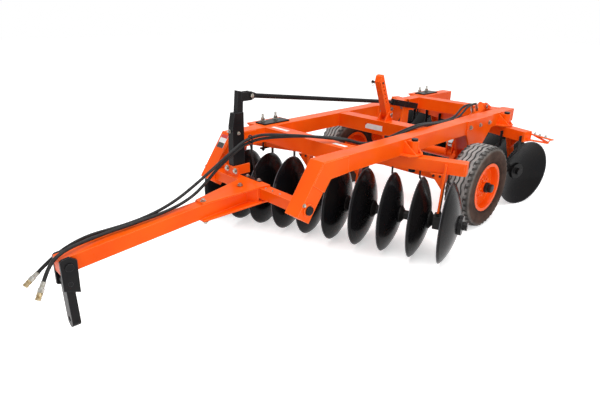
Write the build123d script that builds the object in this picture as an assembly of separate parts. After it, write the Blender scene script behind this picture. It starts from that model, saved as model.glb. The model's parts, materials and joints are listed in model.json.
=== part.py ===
from build123d import *
import math
import os

# Trailed offset disc harrow: a frame of square tube on two wheels, with a front gang that
# throws soil one way and a rear gang that throws it back, and a hinged tongue in front.
# Millimetres. While it is built, X = 0 lies midway between the side beams and points to the
# machine's left, Y = 0 is the front face of the front cross beam and Y points to the rear,
# and Z = 0 is the ground. The last step moves the origin to the middle of the footprint.

# Fits and clearances
FIT = 0.05                # radial play of a pin that is fixed in its hole
RUNNING_FIT = 0.1         # radial play of a pin or shaft that turns in its bore
SIDE_PLAY = 3.0           # play beside an eye between its two lugs
CLEAR = 5.0               # least gap between pieces that move past each other

# Frame of square tube
BEAM = 127.0              # side of the frame's square tube
FRAME_GAP = 914.0         # clear width between the two side beams
FRAME_TOP = 926.0         # height of the frame's top faces
NEAR_BEAM_END = 2527.0    # rear end of the left side beam
FAR_BEAM_END = 3050.0     # rear end of the right side beam, which is longer
MIDDLE_BEAM_Y = 948.0     # front face of the middle cross beam
REAR_BEAM_Y = 2326.0      # front face of the rear cross beam
BEND_Y = -352.0           # where the top faces of the side beams bend down
LEG_ANGLE = 35.0          # slope of the legs from the vertical
LEG_LENGTH = 412.0        # front face of a leg, from the bend to its lower end
LEG_PIN_UP = 80.0         # from a leg's lower end to the hitch pin
BEND_PLATE = 6.0          # thickness of the doubling plates on the bend
BEND_PLATE_LEG = 172.0    # how far they reach down the leg
BEND_PLATE_TOP = 250.0    # how far they reach back along the beam

# Hitch: cross tube on two pins, tongue, plates and the clevis at the tip
HITCH_TUBE = 80.0
HITCH_PIN_R = 20.0
HITCH_PIN_HEAD_R = 31.0
HITCH_PIN_HEAD = 16.0
TONGUE_WIDTH = 96.0
TONGUE_HEIGHT = 100.0
TONGUE_PITCH = 4.5        # slope of the tongue, down to the front
TONGUE_TIP_Y = -1925.0
HITCH_PLATE = 12.0
TOP_PLATE_FRONT = (-970.0, 48.0)      # y of the front edge and its half width
TOP_PLATE_REAR = (-447.0, 138.0)
BOTTOM_PLATE_FRONT = (-990.0, 80.0)
BOTTOM_PLATE_REAR = (-470.0, 150.0)
CLEVIS_PLATE = 20.0
CLEVIS_BOLT = (-1880.0, 496.0)        # y and z of the bolt through the tongue
CLEVIS_BOLT_R = 16.0
LINK_PIN = (-1888.0, 388.0)           # y and z of the pin that the drop link hangs on
LINK_PIN_R = 14.0
LINK_WIDTH = 84.0
LINK_DEPTH = 50.0
LINK_BOTTOM = 73.0
LINK_EYE_UP = 55.0        # from the link's lower end to its eye
LINK_EYE_R = 18.0

# Mast and levelling rod, in one plane right of the middle
MAST_X = -270.0
MAST_WIDTH = 60.0
MAST_FOOT = (-391.0, 629.0)
MAST_STEP = 1140.0        # height where the lower leaf ends
MAST_TOP = 1304.0
FORK_PIN = (-301.0, 1255.0)           # y and z of the pin in the mast's fork
FORK_PIN_R = 12.0
ROD_R = 14.0
ROD_JOINT = (1620.0, 980.0)           # where the rod is bolted to its two straps
ROD_ROUND = 0.955         # share of the rod that is round, before its flat end
STRAP_START = 0.965       # where the straps begin, as a share of the rod
STRAP = 10.0
STRAP_HEIGHT = 62.0
STRAP_END = (1990.0, 894.0)
LEVER_PIN = (1807.0, 953.0)           # y and z of the pin in the levelling lever
LEVER_PIN_R = 12.0
LEVER = 20.0
LEVER_HEAD_R = 42.0
LEVER_HOLE_PLAY = 19.0    # the open pivot's play, for the rod's end drifts over the travel

# Rockshaft, wheel axle and wheels
SHAFT_AXIS = (1755.0, 530.0)          # y and z of the rockshaft
SHAFT_R = 44.5
BEARING_R = 62.0
BEARING_PLATE = 12.7
COLLAR_R = 58.0
COLLAR = 11.0
ARM_X = 419.0
ARM = 90.0                # depth of an arm
ARM_THICK = 40.0
AXLE_TUBE = 90.0
AXLE_TUBE_END = 600.0
WHEEL_AXIS = (1490.0, 380.0)          # y and z of the wheels
TRACK_HALF = 790.0        # from the middle to a wheel's middle plane
TYRE_R = 380.0
TYRE_WIDTH = 250.0
RIM_R = 212.0
RIM_WIDTH = 214.0
FLANGE = 5.0              # thickness of the rim's flanges
FLANGE_HEIGHT = 12.0
SPINDLE_R = 25.0
HUB_R = 52.0

# Lift cylinder
CYL_X = 350.0
CYL_REAR_PIN = (2288.0, 949.0)
CYL_ROD_PIN = (1745.0, 640.0)
CYL_PIN_R = 12.5
BARREL_R = 48.0
BARREL_LENGTH = 400.0
GLAND_R = 53.0
GLAND = 30.0
PISTON_ROD_R = 19.0
EYE_R = 32.0
EYE_WIDTH = 44.0
CAP_GAP = 14.0            # from the barrel's eye to its end cap
ROD_EYE_R = 40.0
ROD_EYE_PLAY = 15.0       # the open pivot's play
LUG = 12.0
PORT_R = 11.0             # the cylinder's two elbow fittings
PORT_HEX_R = 16.0
PORT_HEX = 18.0

# Hydraulic hoses from the cylinder over the frame to the tongue's tip, each in three lengths
HOSE_R = 11.0
HOSE_ROOM = 1.0           # play of a hose in its clip and in the holder's ring
ARC_SHARE = 0.45          # share of the shorter run that a bend takes up on each side
LEAST_BEND = 10 * HOSE_R  # smallest radius that the hose may be bent to
CLIP = 14.0               # thickness of the clip on the left side beam
RING_BAR = 8.0
FERRULE_R = 14.0
FERRULE = 36.0
COUPLER_HEX_R = 19.0
COUPLER_HEX = 24.0
COUPLER_R = 16.0
COUPLER = 44.0

# The hoses' routes as (x, y, z), from the cylinder's fitting to the coupler, with the numbers
# of the runs where one length ends and the next begins: in the clip, and in the holder's ring
HOSE_A = (
    (366, 2083, 996), (367, 2005, 996), (373, 1915, 983), (390, 1815, 948), (416, 1685, 918),
    (428, 1490, 914), (434, 1265, 923), (446, 1085, 947), (446, 935, 947), (437, 775, 926),
    (433, 650, 905), (433, 505, 892), (429, 365, 892), (410, 245, 909), (368, 155, 945),
    (303, 64, 962), (217, -20, 972), (121, -120, 982), (41, -240, 993), (-4, -345, 1004),
    (-20, -440, 1008), (-31, -540, 986), (-35, -630, 937), (-39, -725, 881), (-42, -833, 817),
    (-44, -960, 747), (-45, -1090, 682), (-46, -1222, 637), (-44, -1358, 613), (-46, -1490, 602),
    (-62, -1602, 595), (-82, -1704, 585), (-92, -1813, 556), (-98, -1923, 504), (-104, -2003, 440),
)
HOSE_B = (
    (334, 2045, 990), (335, 1965, 992), (343, 1872, 980), (362, 1775, 950), (388, 1650, 920),
    (398, 1480, 914), (404, 1262, 923), (416, 1082, 947), (416, 932, 947), (407, 772, 926),
    (403, 650, 905), (403, 505, 892), (399, 367, 892), (381, 255, 909), (342, 172, 945),
    (281, 88, 960), (198, 5, 967), (103, -96, 971), (25, -220, 972), (-13, -335, 976),
    (-25, -440, 977), (-37, -538, 955), (-47, -615, 911), (-56, -690, 865), (-57, -775, 812),
    (-50, -870, 740), (-38, -980, 676), (-25, -1105, 640), (-12, -1240, 624), (-12, -1350, 617),
    (-14, -1480, 606), (-24, -1615, 596), (-14, -1745, 588), (14, -1850, 588), (40, -1932, 571),
    (65, -1990, 527), (82, -2025, 470),
)
HOSES = (("a", HOSE_A, 10, 20), ("b", HOSE_B, 10, 20))

# Transport lock arm on the middle cross beam
LOCK_X = 40.0
LOCK_PIVOT = (1040.0, 980.0)
LOCK_PIN_R = 12.5
LOCK_LEAN = 23.0
LOCK_LENGTH = 385.0
LOCK_WIDTH = 64.0
LOCK_DEPTH = 60.0
LOCK_HOLE_R = 9.0
LOCK_HOLES = tuple(130.0 + 38.0 * step for step in range(5))          # heights above the pivot

# Gangs: ten discs on one square shaft under each gang beam
DISC_COUNT = 10
DISC_R = 330.0
DISC_THICK = 6.0
DISC_DISH = 97.0          # depth of the dish
DISC_BEVEL = 20.0
DISC_PITCH = 233.0
SHAFT_SIDE = 32.0         # the gang's square shaft
SHAFT_FIT = 0.1
SPOOL_R = 38.0
SPOOL_FLARE_R = 72.0
SPOOL_FLARE = 30.0
END_WASHER = 22.0
END_WASHER_R = 78.0
END_NUT_R = 34.0
END_NUT = 36.0
GANG_BEAM = 100.0
GANG_WALL = 8.0
GANG_OFFSET = 133.0       # from the disc axis to the gang beam's centre line
HANGER_SPACES = (0, 3, 5, 8)          # spaces between discs that hold a bearing
HANGER = 16.0
HOUSING_WIDTH = 56.0
HOUSING_SEAT = 62.0       # from the bulge of a disc to the middle of the bearing behind it
HOUSING_DEPTH = 110.0
HOUSING_R = 62.0
SCRAPER = 8.0
SCRAPER_WIDTH = 32.0
SCRAPER_BACK = 50.0       # from a disc's rim plane back to its scraper's stem
GANG_PIN_X = 636.0        # both gangs pivot this far left of the middle
GANG_PIN_R = 18.0
GANG_BOSS_R = 36.0
CLAMP_X = -624.0
CLAMP_BOLT_R = 8.0
CLAMP_BOLT_SPREAD = 75.0
CLAMP_BASE = (-706.0, 190.0)          # outer edge and half length of the slotted plate
CLAMP_CAP = (-641.0, -511.0, 290.0)   # the cap's outer and inner edge and its length
CLAMP_PLATE = 12.0
CLAMP_PLAY = 0.5
GANG_SWING = 3.0          # degrees each way that the slots allow
SLOT_PLAY = 3.5

# Each gang: its name, its turn from straight across, the x and y of its first disc, and the
# beam's two ends, measured from that disc along the gang. The rear gang is the front gang's
# twin, turned half round, so that its first disc is its right one.
REAR_SLOPE = 18.0
REAR_LEFT_DISC = (877.0, 2314.0)
GANG_SPAN = (DISC_COUNT - 1) * DISC_PITCH
REAR_RIGHT_DISC = (
    REAR_LEFT_DISC[0] - GANG_SPAN * math.cos(math.radians(REAR_SLOPE)),
    REAR_LEFT_DISC[1] + GANG_SPAN * math.sin(math.radians(REAR_SLOPE)),
)
GANGS = (
    ("front", 19.5, 1002.0, 621.0, 70.0, -2100.0),
    ("rear", 180.0 - REAR_SLOPE, *REAR_RIGHT_DISC, -7.0, -GANG_SPAN - 65.0),
)

# Sizes that follow
FRAME_BOTTOM = FRAME_TOP - BEAM
INNER_X = FRAME_GAP / 2
OUTER_X = INNER_X + BEAM
LEG_COS = math.cos(math.radians(LEG_ANGLE))
LEG_SIN = math.sin(math.radians(LEG_ANGLE))
GANG_TOP = FRAME_BOTTOM - CLEAR
GANG_BOTTOM = GANG_TOP - GANG_BEAM
DISC_AXIS_Z = DISC_R
DISH_R = (DISC_R ** 2 + DISC_DISH ** 2) / (2 * DISC_DISH)
BULGE_R = DISH_R + DISC_THICK


def leg_point(down, across):
    """A point on a leg: so far down its front face from the bend, so far behind that face."""
    y = BEND_Y - down * LEG_SIN + across * LEG_COS
    z = FRAME_TOP - down * LEG_COS - across * LEG_SIN
    return y, z


HITCH_AXIS = leg_point(LEG_LENGTH - LEG_PIN_UP, BEAM / 2)
HITCH_FRONT = HITCH_AXIS[0] - HITCH_TUBE / 2
HITCH_TOP = HITCH_AXIS[1] + HITCH_TUBE / 2


def block(x, y, z):
    """A box from its lowest and highest value along each axis."""
    size = [max(pair) - min(pair) for pair in (x, y, z)]
    middle = [sum(pair) / 2 for pair in (x, y, z)]
    return Pos(*middle) * Box(*size)


def side_plate(points, x0, x1):
    """A plate whose outline is given as (y, z) points, from x0 to x1."""
    outline = make_face(Polyline(*[(0, y, z) for y, z in points], close=True))
    return extrude(Pos(min(x0, x1), 0, 0) * outline, abs(x1 - x0), dir=(1, 0, 0))


def flat_plate(points, z0, z1):
    """A plate whose outline is given as (x, y) points, from z0 up to z1."""
    outline = make_face(Polyline(*[(x, y, z0) for x, y in points], close=True))
    return extrude(outline, z1 - z0, dir=(0, 0, 1))


def pin_x(x0, x1, at, radius):
    """A round bar along X, from x0 to x1, at (y, z)."""
    return Pos((x0 + x1) / 2, at[0], at[1]) * Rot(0, 90, 0) * Cylinder(radius, abs(x1 - x0))


def pin_z(z0, z1, at, radius):
    """A round bar along Z, from z0 to z1, at (x, y)."""
    return Pos(at[0], at[1], (z0 + z1) / 2) * Cylinder(radius, abs(z1 - z0))


def bar_between(start, end, width, x0, x1):
    """A flat bar between two (y, z) points, of a width in their plane, from x0 to x1."""
    dy, dz = end[0] - start[0], end[1] - start[1]
    length = math.hypot(dy, dz)
    oy, oz = -dz / length * width / 2, dy / length * width / 2
    corners = [
        (start[0] + oy, start[1] + oz),
        (end[0] + oy, end[1] + oz),
        (end[0] - oy, end[1] - oz),
        (start[0] - oy, start[1] - oz),
    ]
    return side_plate(corners, x0, x1)


def both_sides(solid):
    """A solid and its mirror image on the other side of the machine."""
    return [solid, mirror(solid, Plane.YZ)]


# Frame

def bend_corner():
    """The inner corner of a side beam's bend, under the top run."""
    down = (BEAM - BEAM * LEG_SIN) / LEG_COS
    return leg_point(down, BEAM)


def side_beam(end_y):
    """A side beam: its top run, bent down into a leg, with a plate over each side of the bend."""
    outline = [
        (end_y, FRAME_TOP),
        (BEND_Y, FRAME_TOP),
        leg_point(LEG_LENGTH, 0),
        leg_point(LEG_LENGTH, BEAM),
        bend_corner(),
        (end_y, FRAME_BOTTOM),
    ]
    beam = side_plate(outline, INNER_X, OUTER_X)
    doubler = [
        (BEND_Y + BEND_PLATE_TOP, FRAME_TOP - BEND_PLATE),
        (BEND_Y + BEND_PLATE, FRAME_TOP - BEND_PLATE),
        leg_point(BEND_PLATE_LEG, BEND_PLATE),
        leg_point(BEND_PLATE_LEG, BEAM + BEND_PLATE),
        (bend_corner()[0] + BEND_PLATE, FRAME_BOTTOM - BEND_PLATE),
        (BEND_Y + BEND_PLATE_TOP, FRAME_BOTTOM),
    ]
    beam += side_plate(doubler, INNER_X - BEND_PLATE, OUTER_X + BEND_PLATE)
    beam -= pin_x(INNER_X - BEAM, OUTER_X + BEAM, HITCH_AXIS, HITCH_PIN_R + FIT)
    return beam


def cross_beam(front_y):
    return block((-INNER_X, INNER_X), (front_y, front_y + BEAM), (FRAME_BOTTOM, FRAME_TOP))


def leg_pins():
    """The two pins that the hitch swings on, each with a round head outside its leg."""
    pin = pin_x(INNER_X - BEAM, OUTER_X, HITCH_AXIS, HITCH_PIN_R)
    pin += pin_x(OUTER_X, OUTER_X + HITCH_PIN_HEAD, HITCH_AXIS, HITCH_PIN_HEAD_R)
    return both_sides(pin)


# Hitch

def tongue_top(y):
    """Height of the tongue's top face at y."""
    return HITCH_TOP + (y - HITCH_FRONT) * math.tan(math.radians(TONGUE_PITCH))


def tongue_bottom(y):
    return tongue_top(y) - TONGUE_HEIGHT


def hitch_tube():
    tube = block(
        (-INNER_X + CLEAR, INNER_X - CLEAR),
        (HITCH_FRONT, HITCH_FRONT + HITCH_TUBE),
        (HITCH_TOP - HITCH_TUBE, HITCH_TOP),
    )
    for side in (-1, 1):
        inner = side * (INNER_X - BEAM - CLEAR)
        tube -= pin_x(inner, side * INNER_X, HITCH_AXIS, HITCH_PIN_R + RUNNING_FIT)
    return tube


def tongue():
    outline = [
        (TONGUE_TIP_Y, tongue_bottom(TONGUE_TIP_Y)),
        (HITCH_FRONT, tongue_bottom(HITCH_FRONT)),
        (HITCH_FRONT, tongue_top(HITCH_FRONT)),
        (TONGUE_TIP_Y, tongue_top(TONGUE_TIP_Y)),
    ]
    beam = side_plate(outline, -TONGUE_WIDTH / 2, TONGUE_WIDTH / 2)
    return beam - pin_x(-TONGUE_WIDTH, TONGUE_WIDTH, CLEVIS_BOLT, CLEVIS_BOLT_R + FIT)


def hitch_sheet(front, rear, height, lift):
    """A tapered plate that follows the tongue and then runs level past the hitch tube."""
    side = [
        (front[0], height(front[0])),
        (HITCH_FRONT, height(HITCH_FRONT)),
        (rear[0], height(HITCH_FRONT)),
        (rear[0], height(HITCH_FRONT) + lift),
        (HITCH_FRONT, height(HITCH_FRONT) + lift),
        (front[0], height(front[0]) + lift),
    ]
    outline = [(-front[1], front[0]), (front[1], front[0]), (rear[1], rear[0]), (-rear[1], rear[0])]
    sheet = side_plate(side, -rear[1], rear[1])
    return sheet & flat_plate(outline, 0, FRAME_TOP)


def hitch_plates():
    """The top and bottom plates of the tongue's root, joined by two slanting webs."""
    plates = hitch_sheet(TOP_PLATE_FRONT, TOP_PLATE_REAR, tongue_top, HITCH_PLATE)
    plates += hitch_sheet(BOTTOM_PLATE_FRONT, BOTTOM_PLATE_REAR, tongue_bottom, -HITCH_PLATE)
    half = TONGUE_WIDTH / 2
    web = [
        (half, HITCH_FRONT - 55),
        (half, HITCH_FRONT - 55 - HITCH_PLATE),
        (BOTTOM_PLATE_REAR[1] - 40, HITCH_FRONT - HITCH_PLATE),
        (BOTTOM_PLATE_REAR[1] - 40, HITCH_FRONT),
    ]
    webs = flat_plate(web, tongue_bottom(HITCH_FRONT) - HITCH_PLATE / 2, HITCH_TOP)
    spacer = block(
        (BOTTOM_PLATE_REAR[1] - 60, BOTTOM_PLATE_REAR[1] - 20),
        (HITCH_FRONT + HITCH_PLATE, BOTTOM_PLATE_REAR[0]),
        (tongue_bottom(HITCH_FRONT) - HITCH_PLATE / 2, HITCH_TOP - HITCH_TUBE),
    )
    for solid in both_sides(webs) + both_sides(spacer):
        plates += solid
    return plates


def clevis_plates():
    """Two plates on the tongue's tip, with the bolt through the tongue and the link's pin."""
    half = TONGUE_WIDTH / 2
    outline = [
        (-1931, 355),
        (-1925, 539),
        (-1910, 551),
        (-1868, 554),
        (-1831, 528),
        (-1841, 317),
    ]
    plates = []
    for plate in both_sides(side_plate(outline, half, half + CLEVIS_PLATE)):
        plate -= pin_x(-TONGUE_WIDTH, TONGUE_WIDTH, CLEVIS_BOLT, CLEVIS_BOLT_R + FIT)
        plate -= pin_x(-TONGUE_WIDTH, TONGUE_WIDTH, LINK_PIN, LINK_PIN_R + FIT)
        plates.append(plate)
    return plates


def clevis_pins():
    """The bolt with two round heads and, below it, the drop link's pin."""
    outer = TONGUE_WIDTH / 2 + CLEVIS_PLATE
    bolt = pin_x(-outer, outer, CLEVIS_BOLT, CLEVIS_BOLT_R)
    for side in (-1, 1):
        bolt += pin_x(side * outer, side * (outer + 9), CLEVIS_BOLT, CLEVIS_BOLT_R + 8)
    return [bolt, pin_x(-outer - 2, outer + 2, LINK_PIN, LINK_PIN_R)]


def drop_link():
    """A heavy strap on the clevis pin, with the eye for the tractor's drawbar pin."""
    y, z = LINK_PIN
    half = LINK_WIDTH / 2
    strap = block((-half, half), (y - LINK_DEPTH / 2, y + LINK_DEPTH / 2), (LINK_BOTTOM + half, z))
    strap += Pos(0, y, LINK_BOTTOM + half) * Rot(90, 0, 0) * Cylinder(half, LINK_DEPTH)
    strap += pin_x(-half, half, LINK_PIN, LINK_DEPTH / 2 + 6)
    strap -= pin_x(-LINK_WIDTH, LINK_WIDTH, LINK_PIN, LINK_PIN_R + RUNNING_FIT)
    eye = Pos(0, y, LINK_BOTTOM + LINK_EYE_UP) * Rot(90, 0, 0) * Cylinder(LINK_EYE_R, LINK_WIDTH)
    return strap - eye


def mast():
    """The levelling mast on the hitch tube: a deep lower leaf and a slim one with the fork."""
    foot_y, foot_z = MAST_FOOT
    x0, x1 = MAST_X - MAST_WIDTH / 2, MAST_X + MAST_WIDTH / 2
    hitch_rear = HITCH_FRONT + HITCH_TUBE
    post = side_plate(
        [
            (hitch_rear, foot_z),
            (foot_y, foot_z),
            (-385, MAST_STEP),
            (-468, MAST_STEP),
            (-490, 1035),
            (-500, 790),
            (-500, HITCH_TOP),
            (hitch_rear, HITCH_TOP),
        ],
        x0,
        x1,
    )
    post += side_plate(
        [(-385, MAST_STEP), (-376, MAST_TOP - 12), (-425, MAST_TOP), (-442, MAST_STEP)], x0 + 8, x1 - 8
    )
    y, z = FORK_PIN
    eye_room = EYE_R / 2 + 1
    for side in (-1, 1):
        cheek = [(-395, z - 34), (y, z - 34), (y + 40, z - 16), (y + 40, z + 18), (y, z + 33), (-395, z + 33)]
        post += side_plate(cheek, MAST_X + side * eye_room, MAST_X + side * (MAST_WIDTH / 2 - 4))
    post += pin_x(x0 - 4, x1 + 4, FORK_PIN, FORK_PIN_R)
    return post


def mast_bracket():
    """A front plate and two ears that stand on the hitch tube and hold the mast."""
    half = MAST_WIDTH / 2
    top = HITCH_TOP + 75
    bracket = block((MAST_X - 75, MAST_X + 95), (-500 - HITCH_PLATE, -500), (HITCH_TOP, top))
    for side in (-1, 1):
        inner = MAST_X + side * (half + FIT)
        outer = MAST_X + side * (half + HITCH_PLATE)
        bracket += block((inner, outer), (-506, -350), (HITCH_TOP, top))
    return bracket


def run_middle(points, run):
    """The middle of a hose's run, where two of its lengths meet."""
    return tuple((a + b) / 2 for a, b in zip(points[run], points[run + 1]))


def hose_holder():
    """A thin rod on a strap on the hitch tube, with a long ring at its top for the two hoses."""
    floor = HITCH_TOP + HITCH_PLATE
    upper, lower = (run_middle(points, middle) for name, points, front, middle in HOSES)
    half = abs(upper[0] - lower[0]) / 2 + HOSE_R + 2 * HOSE_ROOM
    ring = SlotOverall(upper[2] - lower[2] + 2 * half + 2 * RING_BAR, 2 * (half + RING_BAR))
    ring -= SlotOverall(upper[2] - lower[2] + 2 * half, 2 * half)
    centre = tuple((a + b) / 2 for a, b in zip(upper, lower))
    upright = Plane(origin=centre, x_dir=(0, 0, 1), z_dir=(0, 1, 0))
    ring = extrude(upright * ring, RING_BAR / 2, both=True)
    strap = block((-150, 40), (-470, -440), (floor, floor + 6))
    foot = (-20, -455, floor + 3)
    top = (centre[0], centre[1], lower[2] - half - RING_BAR / 2)
    rod = Line(foot, top)
    stem = sweep(Plane(origin=rod @ 0, z_dir=rod % 0) * Circle(6), path=rod)
    return strap + stem + ring


# Levelling rod

def levelling_rod():
    """The round rod behind the mast, with an eye in the fork and a flat at the other end."""
    eye = pin_x(MAST_X - EYE_R / 2, MAST_X + EYE_R / 2, FORK_PIN, EYE_R - 6)
    path = Line((MAST_X, *FORK_PIN), (MAST_X, *path_point(ROD_ROUND)))
    bar = sweep(Plane(origin=path @ 0, z_dir=path % 0) * Circle(ROD_R), path=path)
    x0, x1 = MAST_X - LEVER / 2, MAST_X + LEVER / 2
    flat = bar_between(path_point(ROD_ROUND - 0.01), ROD_JOINT, 2 * ROD_R, x0, x1)
    rod = eye + bar + flat + pin_x(x0, x1, ROD_JOINT, LEVER_PIN_R + 12)
    rod -= pin_x(MAST_X - 60, MAST_X + 60, FORK_PIN, FORK_PIN_R + RUNNING_FIT)
    return rod - pin_x(x0 - 1, x1 + 1, ROD_JOINT, LEVER_PIN_R + FIT)


def path_point(share):
    """A point of the levelling rod, as a share of the way from the fork to its rear joint."""
    return tuple(a + (b - a) * share for a, b in zip(FORK_PIN, ROD_JOINT))


def rod_straps():
    """Two straps on the rod's rear end, one each side of the levelling lever, and their pins."""
    inner, outer = LEVER / 2 + SIDE_PLAY, LEVER / 2 + SIDE_PLAY + STRAP
    start = path_point(STRAP_START)
    straps = None
    for side in (-1, 1):
        x0, x1 = MAST_X + side * inner, MAST_X + side * outer
        strap = bar_between(start, STRAP_END, STRAP_HEIGHT, x0, x1)
        straps = strap if straps is None else straps + strap
    for at in (ROD_JOINT, LEVER_PIN):
        straps += pin_x(MAST_X - outer - 8, MAST_X + outer + 8, at, LEVER_PIN_R)
    return straps


# Rockshaft and axle

def axle_bearing_plates():
    """A plate on each side of each side beam, with a sleeve that carries the rockshaft."""
    y, z = SHAFT_AXIS
    flank = BEARING_R + BEARING_PLATE
    outline = [
        (1557, FRAME_TOP),
        (1552, FRAME_BOTTOM),
        (1615, 692),
        (y - flank, z),
        (y + flank, z),
        (1864, 642),
        (2031, FRAME_BOTTOM + 9),
        (2031, FRAME_TOP),
    ]
    hanger = None
    for x0, x1 in ((OUTER_X, OUTER_X + BEARING_PLATE), (INNER_X - BEARING_PLATE, INNER_X)):
        plate = side_plate(outline, x0, x1) + pin_x(x0, x1, SHAFT_AXIS, flank)
        hanger = plate if hanger is None else hanger + plate
    x0, x1 = INNER_X - BEARING_PLATE, OUTER_X + 2 * BEARING_PLATE
    hanger += pin_x(x0, x1, SHAFT_AXIS, BEARING_R)
    hanger -= pin_x(x0 - 1, x1 + 1, SHAFT_AXIS, SHAFT_R + RUNNING_FIT)
    return both_sides(hanger)


def rockshaft():
    """The shaft across the frame, with a collar outside each bearing."""
    bearing_end = OUTER_X + 2 * BEARING_PLATE
    shaft_end = bearing_end + SIDE_PLAY + COLLAR
    shaft = pin_x(-shaft_end, shaft_end, SHAFT_AXIS, SHAFT_R)
    for side in (-1, 1):
        shaft += pin_x(side * (bearing_end + SIDE_PLAY), side * shaft_end, SHAFT_AXIS, COLLAR_R)
    return shaft


def wheel_axle():
    """Two arms, the square tube between the wheels and the spindles that carry the hubs."""
    axle = block(
        (-AXLE_TUBE_END, AXLE_TUBE_END),
        (WHEEL_AXIS[0] - AXLE_TUBE / 2, WHEEL_AXIS[0] + AXLE_TUBE / 2),
        (WHEEL_AXIS[1] - AXLE_TUBE / 2, WHEEL_AXIS[1] + AXLE_TUBE / 2),
    )
    for side in (-1, 1):
        x0, x1 = side * (ARM_X - ARM_THICK / 2), side * (ARM_X + ARM_THICK / 2)
        axle += bar_between(WHEEL_AXIS, SHAFT_AXIS, ARM, x0, x1) + pin_x(x0, x1, SHAFT_AXIS, BEARING_R)
        axle += pin_x(side * AXLE_TUBE_END, side * (TRACK_HALF + 60), WHEEL_AXIS, SPINDLE_R)
    return axle - pin_x(-INNER_X, INNER_X, SHAFT_AXIS, SHAFT_R + FIT)


def levelling_lever():
    """The tapered lever on the rockshaft that pushes the levelling rod."""
    x0, x1 = MAST_X - LEVER / 2, MAST_X + LEVER / 2
    y, z = SHAFT_AXIS
    lever = side_plate(
        [
            (y - BEARING_R - 20, z + 10),
            (y + BEARING_R + 20, z + 10),
            (LEVER_PIN[0] + LEVER_HEAD_R, LEVER_PIN[1]),
            (LEVER_PIN[0] - LEVER_HEAD_R, LEVER_PIN[1]),
        ],
        x0,
        x1,
    )
    lever += pin_x(x0, x1, LEVER_PIN, LEVER_HEAD_R)
    lever += pin_x(MAST_X - 40, MAST_X + 40, SHAFT_AXIS, BEARING_R)
    lever -= pin_x(MAST_X - 60, MAST_X + 60, LEVER_PIN, LEVER_PIN_R + LEVER_HOLE_PLAY)
    return lever - pin_x(MAST_X - 60, MAST_X + 60, SHAFT_AXIS, SHAFT_R + FIT)


def lug_pair(x, pin, foot, head_r, eye_width, pin_r):
    """Two lugs beside an eye, from the foot's (y, z) points up to the pin, joined by the pin."""
    inner = eye_width / 2 + SIDE_PLAY
    outer = inner + LUG
    front, rear = foot[0], foot[-1]
    flanks = [tangent_point(rear, pin, head_r, -1), pin, tangent_point(front, pin, head_r, 1)]
    pair = pin_x(x - outer - 10, x + outer + 10, pin, pin_r)
    for side in (-1, 1):
        x0, x1 = x + side * inner, x + side * outer
        pair += side_plate(foot + flanks, x0, x1) + pin_x(x0, x1, pin, head_r)
    return pair


def tangent_point(start, centre, radius, turn):
    """Where a line from start touches a circle, on the side that turn gives."""
    dy, dz = centre[0] - start[0], centre[1] - start[1]
    distance = math.hypot(dy, dz)
    angle = math.atan2(dz, dy) + turn * math.asin(radius / distance)
    reach = math.sqrt(distance ** 2 - radius ** 2)
    return start[0] + reach * math.cos(angle), start[1] + reach * math.sin(angle)


def cylinder_rod_lugs():
    y, z = SHAFT_AXIS
    foot = [(y - BEARING_R, z), (y - BEARING_R, z - 5), (y + BEARING_R, z - 5), (y + BEARING_R, z)]
    lugs = lug_pair(CYL_X, CYL_ROD_PIN, foot, EYE_R + 4, EYE_WIDTH, CYL_PIN_R)
    return lugs - pin_x(CYL_X - 90, CYL_X + 90, SHAFT_AXIS, SHAFT_R + FIT)


def cylinder_lugs():
    """The lugs on the rear cross beam that the cylinder swings on."""
    front, top = REAR_BEAM_Y, FRAME_TOP
    foot = [(front, top - 76), (front, top), (front + 94, top)]
    return lug_pair(CYL_X, CYL_REAR_PIN, foot, EYE_R + 6, EYE_WIDTH, CYL_PIN_R)


# Lift cylinder, built along -Y from its rear pin and then turned to its slope

CYL_DY = CYL_REAR_PIN[0] - CYL_ROD_PIN[0]
CYL_DZ = CYL_REAR_PIN[1] - CYL_ROD_PIN[1]
CYL_LENGTH = math.hypot(CYL_DY, CYL_DZ)
CYL_PLACE = Pos(CYL_X, *CYL_REAR_PIN) * Rot(math.degrees(math.atan2(CYL_DZ, CYL_DY)), 0, 0)


def rod_y(y0, y1, radius, x=0, z=0):
    """A round bar along Y, from y0 to y1."""
    return Pos(x, (y0 + y1) / 2, z) * Rot(90, 0, 0) * Cylinder(radius, abs(y1 - y0))


def cylinder_barrel():
    cap_y = -EYE_R - CAP_GAP
    gland_y = cap_y - BARREL_LENGTH
    eye = pin_x(-EYE_WIDTH / 2, EYE_WIDTH / 2, (0, 0), EYE_R)
    eye += block((-EYE_WIDTH / 2, EYE_WIDTH / 2), (cap_y - 4, 0), (-EYE_R, EYE_R))
    body = eye + rod_y(cap_y, gland_y, BARREL_R) + rod_y(gland_y, gland_y - GLAND, GLAND_R)
    body -= pin_x(-EYE_WIDTH, EYE_WIDTH, (0, 0), CYL_PIN_R + RUNNING_FIT)
    body -= rod_y(gland_y - GLAND - 1, gland_y + 260, PISTON_ROD_R + RUNNING_FIT)
    return CYL_PLACE * body


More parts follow.
